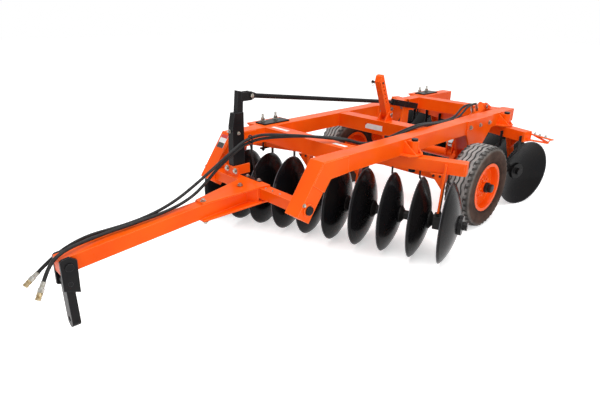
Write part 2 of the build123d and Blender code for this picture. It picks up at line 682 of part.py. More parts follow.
def cylinder_ports():
    """The elbow fittings that stand on the barrel, with their mouths to the front."""
    axis = Plane(CYL_PLACE)
    barrel = CYL_PLACE * rod_y(0, -BARREL_LENGTH, BARREL_R)
    ports = []
    for name, points, front, middle in HOSES:
        mouth = Vector(*points[0])
        seat = Plane(origin=mouth, z_dir=mouth - Vector(*points[1]))
        turn = mouth + seat.z_dir * 2 * PORT_R
        local = axis.to_local_coords(turn)
        stem = CYL_PLACE * pin_z(0, local.Z, (local.X, local.Y), PORT_R)
        nut = extrude(RegularPolygon(PORT_HEX_R, 6), PORT_HEX)
        elbow = stem + CYL_PLACE * Pos(local.X, local.Y, BARREL_R + PORT_HEX) * nut
        elbow += Pos(turn) * Sphere(PORT_R) + extrude(seat * Circle(PORT_R), 2 * PORT_R)
        ports.append(elbow - barrel)
    return ports


def cylinder_rod():
    gland_y = -EYE_R - CAP_GAP - BARREL_LENGTH
    rod = rod_y(-CYL_LENGTH + ROD_EYE_R - 8, gland_y + 180, PISTON_ROD_R)
    rod += pin_x(-EYE_WIDTH / 2, EYE_WIDTH / 2, (-CYL_LENGTH, 0), ROD_EYE_R)
    rod -= pin_x(-EYE_WIDTH, EYE_WIDTH, (-CYL_LENGTH, 0), CYL_PIN_R + ROD_EYE_PLAY)
    return CYL_PLACE * rod


# Hoses

def hose_tube(label, points):
    """A plain tube along straight runs that are joined by tangent arcs."""
    corners = [Vector(*point) for point in points]
    radii = []
    for before, corner, after in zip(corners, corners[1:], corners[2:]):
        come, leave = corner - before, after - corner
        tangent = math.tan(math.radians(come.get_angle(leave)) / 2)
        radii.append(ARC_SHARE * min(come.length, leave.length) / tangent)
    path = FilletPolyline(*corners, radius=radii)
    tube = sweep(Plane(origin=path @ 0, z_dir=path % 0) * Circle(HOSE_R), path=path)
    ideal = math.pi * HOSE_R ** 2 * path.length
    print(
        f"hose {label}: length {path.length:.0f}, least radius {min(radii):.0f} of {LEAST_BEND:.0f},",
        f"volume {tube.volume / ideal:.4f} of section times length",
    )
    return tube


def hose_lengths():
    """Each hose in its three lengths, by node: to the clip, to the ring and to the coupler."""
    tubes = {}
    for name, points, clip, ring in HOSES:
        ends = (points[0], run_middle(points, clip), run_middle(points, ring), points[-1])
        inner = (points[1:clip + 1], points[clip + 1:ring + 1], points[ring + 1:-1])
        for i, place in enumerate(("rear", "middle", "front")):
            label = f"hose_{name}_{place}"
            tubes[label] = [hose_tube(label, [ends[i], *inner[i], ends[i + 1]])]
    return tubes


def hose_clip():
    """The clip on the left side beam's inner face, a block with a hole for each hose."""
    holes = [run_middle(points, clip) for name, points, clip, ring in HOSES]
    low_x = min(hole[0] for hole in holes) - HOSE_R - 2 * CLIP / 3
    y, z = holes[0][1], holes[0][2]
    clip = block((low_x, INNER_X), (y - CLIP / 2, y + CLIP / 2), (z - HOSE_R - 9, z + HOSE_R + 9))
    for hole in holes:
        clip -= rod_y(y - CLIP, y + CLIP, HOSE_R + HOSE_ROOM, hole[0], hole[2])
    return clip


def hose_couplers():
    """The ferrule, hexagon and quick coupler at the front end of each hose."""
    couplers = []
    for name, points, clip, ring in HOSES:
        before, end = Vector(*points[-2]), Vector(*points[-1])
        seat = Plane(origin=end, z_dir=end - before)
        ferrule = extrude(seat * Circle(FERRULE_R), FERRULE)
        hexagon = extrude(seat.offset(FERRULE) * RegularPolygon(COUPLER_HEX_R, 6), COUPLER_HEX)
        nose = extrude(seat.offset(FERRULE + COUPLER_HEX) * Circle(COUPLER_R), COUPLER)
        couplers.append(ferrule + hexagon + nose)
    return couplers


# Transport lock

def lock_arm_lugs():
    y = LOCK_PIVOT[0]
    foot = [(y - 75, FRAME_TOP), (y + 35, FRAME_TOP)]
    return lug_pair(LOCK_X, LOCK_PIVOT, foot, 34, LOCK_WIDTH, LOCK_PIN_R)


def lock_arm():
    half_x, half_y = LOCK_WIDTH / 2, LOCK_DEPTH / 2
    outline = [
        (half_y, 0),
        (half_y, LOCK_LENGTH),
        (0, LOCK_LENGTH),
        (-half_y, LOCK_LENGTH - 42),
        (-half_y, 0),
    ]
    arm = side_plate(outline, -half_x, half_x) + pin_x(-half_x, half_x, (0, 0), half_y)
    arm -= pin_x(-LOCK_WIDTH, LOCK_WIDTH, (0, 0), LOCK_PIN_R + RUNNING_FIT)
    for up in LOCK_HOLES:
        arm -= pin_x(-LOCK_WIDTH, LOCK_WIDTH, (0, up), LOCK_HOLE_R)
    return Pos(LOCK_X, *LOCK_PIVOT) * Rot(LOCK_LEAN, 0, 0) * arm


# Wheels, built about X with the outer side to +X

def tyre():
    half = TYRE_WIDTH / 2
    bead = RIM_WIDTH / 2 - FLANGE
    profile = make_face(
        Polyline(
            [
                (-bead, RIM_R),
                (-bead, RIM_R + FLANGE_HEIGHT + 4),
                (-half + 8, RIM_R + 50),
                (-half, RIM_R + 95),
                (-half + 14, TYRE_R - 26),
                (-half + 40, TYRE_R - 4),
                (0, TYRE_R),
                (half - 40, TYRE_R - 4),
                (half - 14, TYRE_R - 26),
                (half, RIM_R + 95),
                (half - 8, RIM_R + 50),
                (bead, RIM_R + FLANGE_HEIGHT + 4),
                (bead, RIM_R),
            ],
            close=True,
        )
    )
    return revolve(profile, Axis.X)


def rim():
    """Rim with its flanges, the dished disc and the hub, with a bore for the spindle."""
    half = RIM_WIDTH / 2
    seat = RIM_R - FIT
    profile = make_face(
        Polyline(
            [
                (-half, seat - 14),
                (-half, RIM_R + FLANGE_HEIGHT),
                (-half + FLANGE, RIM_R + FLANGE_HEIGHT),
                (-half + FLANGE, seat),
                (half - FLANGE, seat),
                (half - FLANGE, RIM_R + FLANGE_HEIGHT),
                (half, RIM_R + FLANGE_HEIGHT),
                (half, seat - 14),
                (half - 22, seat - 22),
                (half - 60, seat - 30),
                (half - 66, HUB_R + 56),
                (half - 44, HUB_R + 30),
                (half - 44, HUB_R),
                (half - 4, HUB_R - 8),
                (half - 4, SPINDLE_R + RUNNING_FIT),
                (-half + 20, SPINDLE_R + RUNNING_FIT),
                (-half + 20, HUB_R),
                (half - 56, HUB_R),
                (half - 56, HUB_R + 26),
                (half - 78, HUB_R + 60),
                (half - 74, seat - 30),
                (half - 100, seat - 14),
            ],
            close=True,
        )
    )
    return revolve(profile, Axis.X)


def wheel_place(side):
    turn = Rot(0, 0, 0) if side > 0 else Rot(0, 0, 180)
    return Pos(side * TRACK_HALF, *WHEEL_AXIS) * turn


# Gangs. Each is built about its own disc axis, with X along the axis towards the machine's
# left, its first disc's rim at X = 0 and Z = 0 on the axis, and then put in its place.

def cap_x(radius, sphere):
    """How far along the axis a sphere of the dish stands from the rim plane, at a radius."""
    return DISC_DISH - DISH_R + math.sqrt(sphere ** 2 - radius ** 2)


def disc():
    """One dished disc with a bevelled edge and a square hole, its rim plane at X = 0."""
    hole = SHAFT_SIDE / 2
    middle = DISC_R / 2
    bevel_r = DISC_R - DISC_BEVEL
    outside = ThreePointArc(
        (cap_x(0, BULGE_R), 0), (cap_x(middle, BULGE_R), middle), (cap_x(bevel_r, BULGE_R), bevel_r)
    )
    inside = ThreePointArc(
        (cap_x(0, DISH_R), 0), (cap_x(middle, DISH_R), middle), (cap_x(DISC_R, DISH_R), DISC_R)
    )
    edge = Line(outside @ 1, inside @ 1)
    centre = Line(outside @ 0, inside @ 0)
    body = revolve(make_face([outside, edge, inside, centre]), Axis.X)
    side = 2 * hole + 2 * SHAFT_FIT
    return body - Pos(DISC_DISH, 0, 0) * Box(DISC_DISH, side, side)


def spool():
    """The cast spool between two discs, seated on the bulge of one and in the dish of the next."""
    hole = SHAFT_SIDE * 0.75
    start = [(cap_x(r, BULGE_R), r) for r in (hole, SPOOL_FLARE_R / 2, SPOOL_FLARE_R)]
    end = [(DISC_PITCH + cap_x(r, DISH_R), r) for r in (hole, SPOOL_FLARE_R / 2, SPOOL_FLARE_R)]
    left, right = DISC_DISH + DISC_THICK + SPOOL_FLARE, DISC_PITCH + DISC_DISH - SPOOL_FLARE
    edges = [
        ThreePointArc(*start),
        Line(start[2], (start[2][0] + 8, SPOOL_FLARE_R)),
        Line((start[2][0] + 8, SPOOL_FLARE_R), (left, SPOOL_R)),
        Line((left, SPOOL_R), (right, SPOOL_R)),
        Line((right, SPOOL_R), (end[2][0] - 8, SPOOL_FLARE_R)),
        Line((end[2][0] - 8, SPOOL_FLARE_R), end[2]),
        ThreePointArc(*reversed(end)),
        Line(end[0], start[0]),
    ]
    return revolve(make_face(edges), Axis.X)


def gang_pieces(beam_start, beam_end):
    """Everything of one gang in its own frame, as lists of solids by the piece's name."""
    low, high = GANG_BOTTOM - DISC_AXIS_Z, GANG_TOP - DISC_AXIS_Z
    last_disc = -(DISC_COUNT - 1) * DISC_PITCH
    left_seat, right_seat = DISC_DISH + DISC_THICK, last_disc + DISC_DISH
    reach = END_WASHER + END_NUT
    half = SHAFT_SIDE / 2
    shaft = block((right_seat - reach, left_seat + reach), (-half, half), (-half, half))
    shaft += end_cap(left_seat, 1) + end_cap(right_seat, -1)
    return {
        "discs": [Pos(-i * DISC_PITCH, 0, 0) * disc() for i in range(DISC_COUNT)],
        "spools": [Pos(-i * DISC_PITCH, 0, 0) * spool() for i in range(1, DISC_COUNT)],
        "shaft": [shaft],
        "hangers": [Pos(bearing_x(i), 0, 0) * hanger(low, high) for i in HANGER_SPACES],
        "bearings": [Pos(bearing_x(i), 0, 0) * bearing_housing() for i in HANGER_SPACES],
        "scrapers": [Pos(-i * DISC_PITCH, 0, 0) * scraper(low, high) for i in range(DISC_COUNT)],
        "beam": [gang_beam(beam_start, beam_end, low, high)],
    }


def gang_beam(start, end, low, high):
    """The square tube above and behind the discs, open at both ends."""
    half = GANG_BEAM / 2
    wall = half - GANG_WALL
    tube = block((end, start), (GANG_OFFSET - half, GANG_OFFSET + half), (low, high))
    bore = block(
        (end - 1, start + 1),
        (GANG_OFFSET - wall, GANG_OFFSET + wall),
        (low + GANG_WALL, high - GANG_WALL),
    )
    return tube - bore


def bearing_x(space):
    """Middle of the bearing in a space between two discs, near the bulge of the right one."""
    return -(space + 1) * DISC_PITCH + DISC_DISH + DISC_THICK + HOUSING_SEAT


def bearing_housing():
    half = HOUSING_WIDTH / 2
    body = block((-half, half), (-HOUSING_DEPTH / 2, HOUSING_DEPTH / 2), (-HOUSING_R, HOUSING_R))
    body = fillet(body.edges().filter_by(Axis.X), 30)
    return body - pin_x(-half - 1, half + 1, (0, 0), SPOOL_R + RUNNING_FIT)


def hanger(low, high):
    """A rib from the beam down to a bearing, with a tapered flange across it under the beam."""
    front = GANG_OFFSET - GANG_BEAM / 2
    rib = side_plate(
        [
            (-30, HOUSING_R),
            (40, HOUSING_R),
            (front + 60, low),
            (front, low),
            (front, high - 20),
            (front - 14, high - 20),
            (front - 30, low),
        ],
        -HANGER / 2,
        HANGER / 2,
    )
    flange = flat_plate([(-110, 0), (0, 0), (0, -130), (-10, -130)], 0, 10)
    flange = Pos(0, front - 12, low) * Rot(90, 0, 0) * flange
    return rib + flange


def scraper(low, high):
    """A flat bar on the beam's rear face, bent into the dish of a disc below."""
    y0 = GANG_OFFSET + GANG_BEAM / 2
    bend, tip = low - 94, low - 174
    stem = -SCRAPER_BACK
    outline = [
        (stem - SCRAPER, high - 40),
        (stem - SCRAPER, bend),
        (10, tip),
        (10 + SCRAPER, tip + 4),
        (stem, bend + 4),
        (stem, high - 40),
    ]
    face = make_face(Polyline(*[(x, y0, z) for x, z in outline], close=True))
    return extrude(face, SCRAPER_WIDTH, dir=(0, 1, 0))


def end_cap(seat, side):
    """The washer that seats on an end disc, outside the bulge or in the dish, with its nut."""
    outer = seat + side * END_WASHER
    washer = pin_x(seat - side * 8, outer, (0, 0), END_WASHER_R)
    sphere = BULGE_R if side > 0 else DISH_R
    ball = Pos(seat - sphere, 0, 0) * Sphere(sphere)
    washer = washer - ball if side > 0 else washer & ball
    return washer + pin_x(outer, outer + side * END_NUT, (0, 0), END_NUT_R)


# Where each gang stands and where it meets the frame

def point_on_beam(angle, x, y, at_x):
    """Where a gang beam's centre line passes a given x, as (x, y)."""
    slope = math.radians(angle)
    start_x = x - GANG_OFFSET * math.sin(slope)
    start_y = y + GANG_OFFSET * math.cos(slope)
    along = (at_x - start_x) / math.cos(slope)
    return at_x, start_y + along * math.sin(slope)


def gang_pin(at):
    """The pin that a gang swings on, with a head on the boss and a nut under the beam."""
    pin = pin_z(GANG_BOTTOM - 34, FRAME_TOP - 12, at, GANG_PIN_R)
    pin += pin_z(FRAME_TOP - 12, FRAME_TOP + 6, at, GANG_PIN_R + 8)
    return pin + pin_z(GANG_BOTTOM - 34, GANG_BOTTOM, at, GANG_PIN_R + 10)


def pivot_bracket(at):
    """The bracket on the left side beam: a base plate, a boss and two sloping ribs."""
    x, y = at
    floor = FRAME_BOTTOM
    base = flat_plate(
        [(OUTER_X, y - 105), (x + 20, y - 95), (x + 62, y - 40), (x + 62, y + 40), (x + 20, y + 95),
         (OUTER_X, y + 105)],
        floor,
        floor + 12,
    )
    top = FRAME_TOP - 12
    boss = pin_z(floor, top, at, GANG_BOSS_R) + block((OUTER_X, x), (y - 30, y + 30), (floor, top))
    for side in (-1, 1):
        rib = make_face(Polyline((OUTER_X, y + side * 60, floor + 12), (OUTER_X, y + side * 60, top),
                                 (x + 55, y + side * 36, floor + 12), close=True))
        boss += extrude(rib, 6, both=True)
    boss -= block((INNER_X, OUTER_X), (y - 150, y + 150), (floor, top))
    return base + boss - pin_z(floor - 1, top + 1, at, GANG_PIN_R + RUNNING_FIT)


def clamp_bolts(at):
    return [(at[0], at[1] + side * CLAMP_BOLT_SPREAD) for side in (-1, 1)]


def swing_slot(bolt, pivot, z0, z1):
    """The slot that a clamp bolt travels in while the gang swings about its pin."""
    dx, dy = bolt[0] - pivot[0], bolt[1] - pivot[1]
    reach = math.hypot(dx, dy)
    travel = reach * math.sin(math.radians(GANG_SWING))
    radius = CLAMP_BOLT_R + SLOT_PLAY
    heading = math.degrees(math.atan2(dx, -dy))
    slot = block((-travel, travel), (-radius, radius), (z0, z1))
    slot += pin_z(z0, z1, (-travel, 0), radius) + pin_z(z0, z1, (travel, 0), radius)
    return Pos(bolt[0], bolt[1], 0) * Rot(0, 0, heading) * slot


def clamp_base(at, pivot):
    """The slotted plate on the right side beam, on a rib at each end."""
    outer, half = CLAMP_BASE
    y = at[1]
    plate = block((outer, -OUTER_X), (y - half, y + half), (FRAME_TOP - CLAMP_PLATE, FRAME_TOP))
    for bolt in clamp_bolts(at):
        plate -= swing_slot(bolt, pivot, FRAME_TOP - CLAMP_PLATE - 1, FRAME_TOP + 1)
    for end in (y - half, y + half - 10):
        corners = [(-OUTER_X, FRAME_TOP - CLAMP_PLATE), (outer + 8, FRAME_TOP - CLAMP_PLATE),
                   (-OUTER_X, FRAME_TOP - 80)]
        rib = make_face(Polyline(*[(x, end, z) for x, z in corners], close=True))
        plate += extrude(rib, 10, dir=(0, 1, 0))
    return plate


def gang_clamp(at):
    """The clamp that holds a gang beam's right end: cap, two long bolts and the lower plate."""
    x, y = at
    outer, inner, length = CLAMP_CAP
    low = GANG_BOTTOM - CLAMP_PLATE
    cap_z = FRAME_TOP + CLAMP_PLAY
    clamp = block((outer, inner), (y - length / 2, y + length / 2), (cap_z, cap_z + CLAMP_PLATE))
    clamp += block((x - 16, x + 16), (y - 105, y + 105), (low, GANG_BOTTOM))
    for bolt in clamp_bolts(at):
        clamp += pin_z(low - 22, cap_z + 60, bolt, CLAMP_BOLT_R)
        clamp += pin_z(cap_z + CLAMP_PLATE, cap_z + CLAMP_PLATE + 14, bolt, CLAMP_BOLT_R + 6)
        clamp += pin_z(low - 14, low, bolt, CLAMP_BOLT_R + 6)
    return clamp


def build():
    """All pieces by name, each a list of solids, before the origin is moved."""
    parts = {
        "near_side_beam": [side_beam(NEAR_BEAM_END)],
        "far_side_beam": [mirror(side_beam(FAR_BEAM_END), Plane.YZ)],
        "front_cross_beam": [cross_beam(0)],
        "middle_cross_beam": [cross_beam(MIDDLE_BEAM_Y)],
        "rear_cross_beam": [cross_beam(REAR_BEAM_Y)],
        "axle_bearing_plates": axle_bearing_plates(),
        "lock_arm_lugs": [lock_arm_lugs()],
        "cylinder_lugs": [cylinder_lugs()],
        "leg_pins": leg_pins(),
        "hitch_cross_tube": [hitch_tube()],
        "tongue": [tongue()],
        "hitch_plates": [hitch_plates()],
        "clevis_plates": clevis_plates(),
        "clevis_pins": clevis_pins(),
        "drop_link": [drop_link()],
        "mast": [mast()],
        "mast_bracket": [mast_bracket()],
        "hose_holder": [hose_holder()],
        "levelling_rod": [levelling_rod()],
        "rod_straps": [rod_straps()],
        "rockshaft": [rockshaft()],
        "wheel_axle": [wheel_axle()],
        "levelling_lever": [levelling_lever()],
        "cylinder_rod_lugs": [cylinder_rod_lugs()],
        "cylinder_barrel": [cylinder_barrel()],
        "cylinder_ports": cylinder_ports(),
        "cylinder_rod": [cylinder_rod()],
        "lock_arm": [lock_arm()],
        "hose_clip": [hose_clip()],
        "hose_couplers": hose_couplers(),
    }
    parts.update(hose_lengths())
    for name, side in (("near", 1), ("far", -1)):
        parts[f"{name}_tyre"] = [wheel_place(side) * tyre()]
        parts[f"{name}_rim"] = [wheel_place(side) * rim()]
    brackets, bases = [], []
    for name, angle, x, y, start, end in GANGS:
        place = Pos(x, y, DISC_AXIS_Z) * Rot(0, 0, angle)
        pivot = point_on_beam(angle, x, y, GANG_PIN_X)
        clamp = point_on_beam(angle, x, y, CLAMP_X)
        for piece, solids in gang_pieces(start, end).items():
            parts[f"{name}_gang_{piece}"] = [place * solid for solid in solids]
        beam = parts[f"{name}_gang_beam"][0] - pin_z(0, FRAME_TOP, pivot, GANG_PIN_R + FIT)
        parts[f"{name}_gang_beam"] = [beam]
        parts[f"{name}_gang_pin"] = [gang_pin(pivot)]
        parts[f"{name}_gang_clamp"] = [gang_clamp(clamp)]
        brackets.append(pivot_bracket(pivot))
        bases.append(clamp_base(clamp, pivot))
    parts["gang_pivot_brackets"] = brackets
    parts["clamp_bases"] = bases
    return parts


def is_cord(node):
    """Whether a node is a length of hose or a piece that hangs on one."""
    return node.startswith(("hose_a", "hose_b", "hose_couplers"))


def origin_shift(parts):
    """The move that puts the origin on the ground under the middle of all but the hoses."""
    rigid = [solids for node, solids in parts.items() if not is_cord(node)]
    boxes = [solid.bounding_box() for solids in rigid for solid in solids]
    low = [min(getattr(box.min, axis) for box in boxes) for axis in "XYZ"]
    high = [max(getattr(box.max, axis) for box in boxes) for axis in "XYZ"]
    return Vector(-(low[0] + high[0]) / 2, -(low[1] + high[1]) / 2, -low[2])


PARTS = build()
SHIFT = origin_shift(PARTS)
os.makedirs("parts", exist_ok=True)
for node, solids in PARTS.items():
    moved = [Pos(SHIFT) * solid for solid in solids]
    export_step(moved[0] if len(moved) == 1 else Compound(children=moved), f"parts/{node}.step")
print("origin moved by", [round(value, 3) for value in SHIFT])
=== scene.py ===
# %% [markdown]
# # A trailed offset disc harrow
# The machine is an orange frame of square tube on two wheels, with a gang of ten black discs in
# front, another behind, and a hinged tongue. Its solids come from the CAD part, in metres, so
# this lesson adds what a shop adds last: enamel, tyres with tread, bolts, hoses and labels.

# %% Load the solids
import json
import math

import bmesh
import bpy
from mathutils import Matrix, Vector


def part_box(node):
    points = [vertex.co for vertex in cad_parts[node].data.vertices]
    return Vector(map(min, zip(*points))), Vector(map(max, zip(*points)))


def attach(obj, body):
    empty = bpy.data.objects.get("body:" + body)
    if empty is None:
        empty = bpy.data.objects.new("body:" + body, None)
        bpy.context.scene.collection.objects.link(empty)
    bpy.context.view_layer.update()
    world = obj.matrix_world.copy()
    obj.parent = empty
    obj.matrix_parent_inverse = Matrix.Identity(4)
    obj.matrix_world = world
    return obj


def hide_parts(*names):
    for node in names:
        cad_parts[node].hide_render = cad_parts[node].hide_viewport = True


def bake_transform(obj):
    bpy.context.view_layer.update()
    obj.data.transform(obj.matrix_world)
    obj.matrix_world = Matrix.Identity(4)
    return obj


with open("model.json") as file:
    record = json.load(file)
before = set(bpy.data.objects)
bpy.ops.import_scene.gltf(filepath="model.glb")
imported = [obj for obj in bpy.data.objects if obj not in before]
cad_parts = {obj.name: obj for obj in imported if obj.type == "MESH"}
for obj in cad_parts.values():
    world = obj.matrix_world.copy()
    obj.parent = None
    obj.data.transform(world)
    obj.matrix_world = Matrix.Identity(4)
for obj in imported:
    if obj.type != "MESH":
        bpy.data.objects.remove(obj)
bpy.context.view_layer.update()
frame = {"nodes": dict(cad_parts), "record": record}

bpy.ops.object.select_all(action="DESELECT")

# %% [markdown]
# ## Working in the drawing's own millimetres
# The workshop drawing measures from the middle of the frame, from the front face of the front
# cross beam and from the ground. Two solids tell how far the scene's origin is from there, and
# one small function turns a drawing point into Blender's metres, so no place is typed in twice.

# %% Drawing points
MM = 0.001
BEAM = 127.0              # side of the frame's square tube
BEAM_TOP = 926.0          # height of the frame's top faces
BEAM_BOTTOM = BEAM_TOP - BEAM
BEAM_INNER = 457.0        # from the middle to the inner face of a side beam
BEAM_OUTER = BEAM_INNER + BEAM
CROSS_BEAMS = (0.0, 948.0, 2326.0)      # front faces of the three cross beams
DOUBLER = 6.0             # the plate over a side beam's bend
SHIFT = Vector((
    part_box("near_side_beam")[1].x - (BEAM_OUTER + DOUBLER) * MM,
    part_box("front_cross_beam")[0].y,
    0.0,
))


def at(x, y, z):
    """A point of the drawing, in millimetres, as a point of the scene."""
    return Vector((x, y, z)) * MM + SHIFT


DISC_COUNT = 10
DISC_PITCH = 233.0
DISC_RADIUS = 330.0
GANG_SPAN = (DISC_COUNT - 1) * DISC_PITCH       # from a gang's first disc to its last
FRONT_SLOPE, REAR_SLOPE = 19.5, 18.0            # degrees of each gang from straight across
GANG_ANGLES = {"front": FRONT_SLOPE, "rear": 180.0 - REAR_SLOPE}
REAR_LEFT_DISC = (877.0, 2314.0)
FIRST_DISC = {
    "front": (1002.0, 621.0),
    "rear": (REAR_LEFT_DISC[0] - GANG_SPAN * math.cos(math.radians(REAR_SLOPE)),
             REAR_LEFT_DISC[1] + GANG_SPAN * math.sin(math.radians(REAR_SLOPE))),
}
GANG_BEAM = 100.0         # side of a gang beam
GANG_BEAM_TOP = 794.0
BEAM_OFFSET = 133.0       # from the discs' line to the gang beam's middle
BEAM_LEVEL = GANG_BEAM_TOP - GANG_BEAM / 2 - DISC_RADIUS    # and that middle above the line


def in_gang(gang, along, across, height):
    """A point given along a gang's disc line, across it and above that line."""
    angle = math.radians(GANG_ANGLES[gang])
    x, y = FIRST_DISC[gang]
    return (x + along * math.cos(angle) - across * math.sin(angle),
            y + along * math.sin(angle) + across * math.cos(angle),
            DISC_RADIUS + height)


def beam_y(gang, x):
    """The y where a gang beam's middle passes a given x."""
    start = in_gang(gang, 0.0, BEAM_OFFSET, 0.0)
    return start[1] + (x - start[0]) * math.tan(math.radians(GANG_ANGLES[gang]))


print("drawing origin in the scene:", [round(value, 4) for value in SHIFT])

# %% [markdown]
# ## The camera first
# The photograph was taken from the front left, a little above the frame. A camera is placed by
# three directions: right, up and back. They follow from how far it is turned and tipped.

# %% Camera
CAMERA_AT = at(2699.3, -2578.0, 1877.9)
CAMERA_TURN = 0.8104      # radians round the machine from straight in front
CAMERA_TIP = 0.3796       # radians above the horizon
CAMERA_ROLL = 0.0111
CAMERA_LENS = 28.8        # millimetres on a 36 mm wide sensor

turn_cos, turn_sin = math.cos(CAMERA_TURN), math.sin(CAMERA_TURN)
back = Vector((turn_sin * math.cos(CAMERA_TIP), -turn_cos * math.cos(CAMERA_TIP),
               math.sin(CAMERA_TIP)))
level_right = Vector((turn_cos, turn_sin, 0.0))
level_up = back.cross(level_right)
right = math.cos(CAMERA_ROLL) * level_right + math.sin(CAMERA_ROLL) * level_up
up = back.cross(right)
camera_data = bpy.data.cameras.new("camera")
camera_data.lens = CAMERA_LENS
camera_data.clip_end = 200.0
camera = bpy.data.objects.new("camera", camera_data)
turned_to = Matrix((right, up, back)).transposed().to_4x4()
camera.matrix_world = Matrix.Translation(CAMERA_AT) @ turned_to
bpy.context.scene.collection.objects.link(camera)
bpy.context.scene.camera = camera
print("camera at", [round(value, 3) for value in CAMERA_AT])

# %% [markdown]
# ## Finishes
# Every finish is one Principled shader with a few nodes in front of it. Noise on Object
# coordinates gives slow colour drift and fine ripple, and the Bevel node rounds the light on
# sharp CAD edges, which no real painted steel has.

# %% Helpers for finishes
def finish(name, colour, roughness, metallic=0.0, coat=0.0, gloss=0.5):
    """A new material with its even values set on the shader's own sockets."""
    material = bpy.data.materials.new(name)
    material.use_nodes = True
    shader = material.node_tree.nodes["Principled BSDF"]
    shader.inputs["Base Color"].default_value = (*colour, 1.0)
    shader.inputs["Roughness"].default_value = roughness
    shader.inputs["Metallic"].default_value = metallic
    shader.inputs["Specular IOR Level"].default_value = gloss
    shader.inputs["Coat Weight"].default_value = coat
    shader.inputs["Coat Roughness"].default_value = 0.06
    return material


def add(material, kind, **values):
    """A new node in a material, with some of its sockets or settings given by name."""
    made = material.node_tree.nodes.new("ShaderNode" + kind)
    for name, value in values.items():
        socket = name.replace("_", " ").title()
        if socket in made.inputs:
            made.inputs[socket].default_value = value
        else:
            setattr(made, name, value)
    return made


def link(material, start, output, end, socket):
    """Feeds a node's output to another node's socket, each by its name or number."""
    material.node_tree.links.new(start.outputs[output], end.inputs[socket])


def noise(material, scale, detail=3.0):
    """Noise on the piece's own coordinates, so that it stays put in every pose."""
    texture = add(material, "TexNoise", scale=scale, detail=detail)
    link(material, add(material, "TexCoord"), "Object", texture, "Vector")
    return texture


def ramp(material, source, output, stops):
    """A colour ramp from (place, colour) stops, fed by another node."""
    made = add(material, "ValToRGB")
    elements = made.color_ramp.elements
    while len(elements) < len(stops):
        elements.new(0.5)
    for element, (place, colour) in zip(elements, stops):
        element.position = place
        element.color = (*colour, 1.0)
    link(material, source, output, made, "Fac")
    return made


def shader_of(material):
    """The material's Principled shader."""
    return material.node_tree.nodes["Principled BSDF"]


def drift(material, scale, first, second):
    """Slow wandering between two colours of the same paint."""
    made = ramp(material, noise(material, scale), "Fac", [(0.35, first), (0.65, second)])
    link(material, made, "Color", shader_of(material), "Base Color")


def rough_patches(material, scale, low, high):
    """Roughness that wanders between two values."""
    grey = [(0.3, (low,) * 3), (0.7, (high,) * 3)]
    link(material, ramp(material, noise(material, scale, 5.0), "Fac", grey), "Color",
         shader_of(material), "Roughness")


def surface(material, edge, ripple_scale, ripple):
    """Rounded edges and a fine ripple, on the base and on the clear coat."""
    bevel = add(material, "Bevel", radius=edge)
    bump = add(material, "Bump", strength=1.0, distance=ripple)
    link(material, noise(material, ripple_scale, 4.0), "Fac", bump, "Height")
    link(material, bevel, "Normal", bump, "Normal")
    for socket in ("Normal", "Coat Normal"):
        link(material, bump, "Normal", shader_of(material), socket)


def painted_edge_highlight(material, width, colour):
    """A painted highlight along the edges, also standing for thin paint: a paler line where the
    Bevel node turns the normal.
    """
    turned = add(material, "VectorMath", operation="DOT_PRODUCT")
    link(material, add(material, "Bevel", radius=width), "Normal", turned, 0)
    link(material, add(material, "NewGeometry"), "Normal", turned, 1)
    # The mask of the painted highlight: white where the Bevel normal turns away from the face's
    # own.
    edge = ramp(material, turned, "Value", [(0.88, (1.0, 1.0, 1.0)), (0.975, (0.0, 0.0, 0.0))])
    base = shader_of(material).inputs["Base Color"]
    mix = add(material, "Mix", data_type="RGBA")
    link(material, edge, "Color", mix, 0)
    material.node_tree.links.new(base.links[0].from_socket, mix.inputs[6])
    # The painted highlight's colour.
    mix.inputs[7].default_value = (*colour, 1.0)
    material.node_tree.links.new(mix.outputs[2], base)


# %% [markdown]
# ## The paints and metals of this machine
# Orange enamel covers the frame, black enamel the mast, rod, clamps and pins. The discs are
# dipped in gloss black. Hose covers are smooth rubber, and the tyres are dusty from the yard.

# %% Paints and metals
orange = finish("orange_enamel", (0.93, 0.105, 0.004), 0.34, coat=0.07, gloss=0.08)
drift(orange, 3.0, (0.88, 0.085, 0.002), (0.94, 0.112, 0.004))
rough_patches(orange, 6.0, 0.26, 0.42)
surface(orange, 0.004, 900.0, 0.00003)
# A painted highlight of paler orange along the frame's edges.
painted_edge_highlight(orange, 0.005, (0.98, 0.26, 0.07))

black = finish("black_enamel", (0.010, 0.010, 0.011), 0.34, coat=0.05, gloss=0.08)
drift(black, 5.0, (0.008, 0.008, 0.009), (0.016, 0.015, 0.015))
surface(black, 0.003, 700.0, 0.00004)
# A painted highlight of dark grey along the black edges.
painted_edge_highlight(black, 0.005, (0.06, 0.06, 0.065))

disc_black = finish("disc_enamel", (0.006, 0.006, 0.007), 0.30, coat=0.06, gloss=0.06)
drift(disc_black, 4.0, (0.005, 0.005, 0.006), (0.009, 0.008, 0.008))
rough_patches(disc_black, 5.0, 0.16, 0.34)
surface(disc_black, 0.002, 60.0, 0.00004)
# A painted highlight of grey along the discs' edges.
painted_edge_highlight(disc_black, 0.006, (0.11, 0.11, 0.12))

casting = finish("painted_casting", (0.012, 0.012, 0.012), 0.5, coat=0.04, gloss=0.15)
drift(casting, 9.0, (0.009, 0.009, 0.009), (0.020, 0.018, 0.017))
surface(casting, 0.005, 220.0, 0.0004)

zinc = finish("zinc_plate", (0.42, 0.41, 0.38), 0.30, metallic=1.0)
drift(zinc, 60.0, (0.46, 0.45, 0.43), (0.30, 0.28, 0.22))
surface(zinc, 0.001, 500.0, 0.00003)

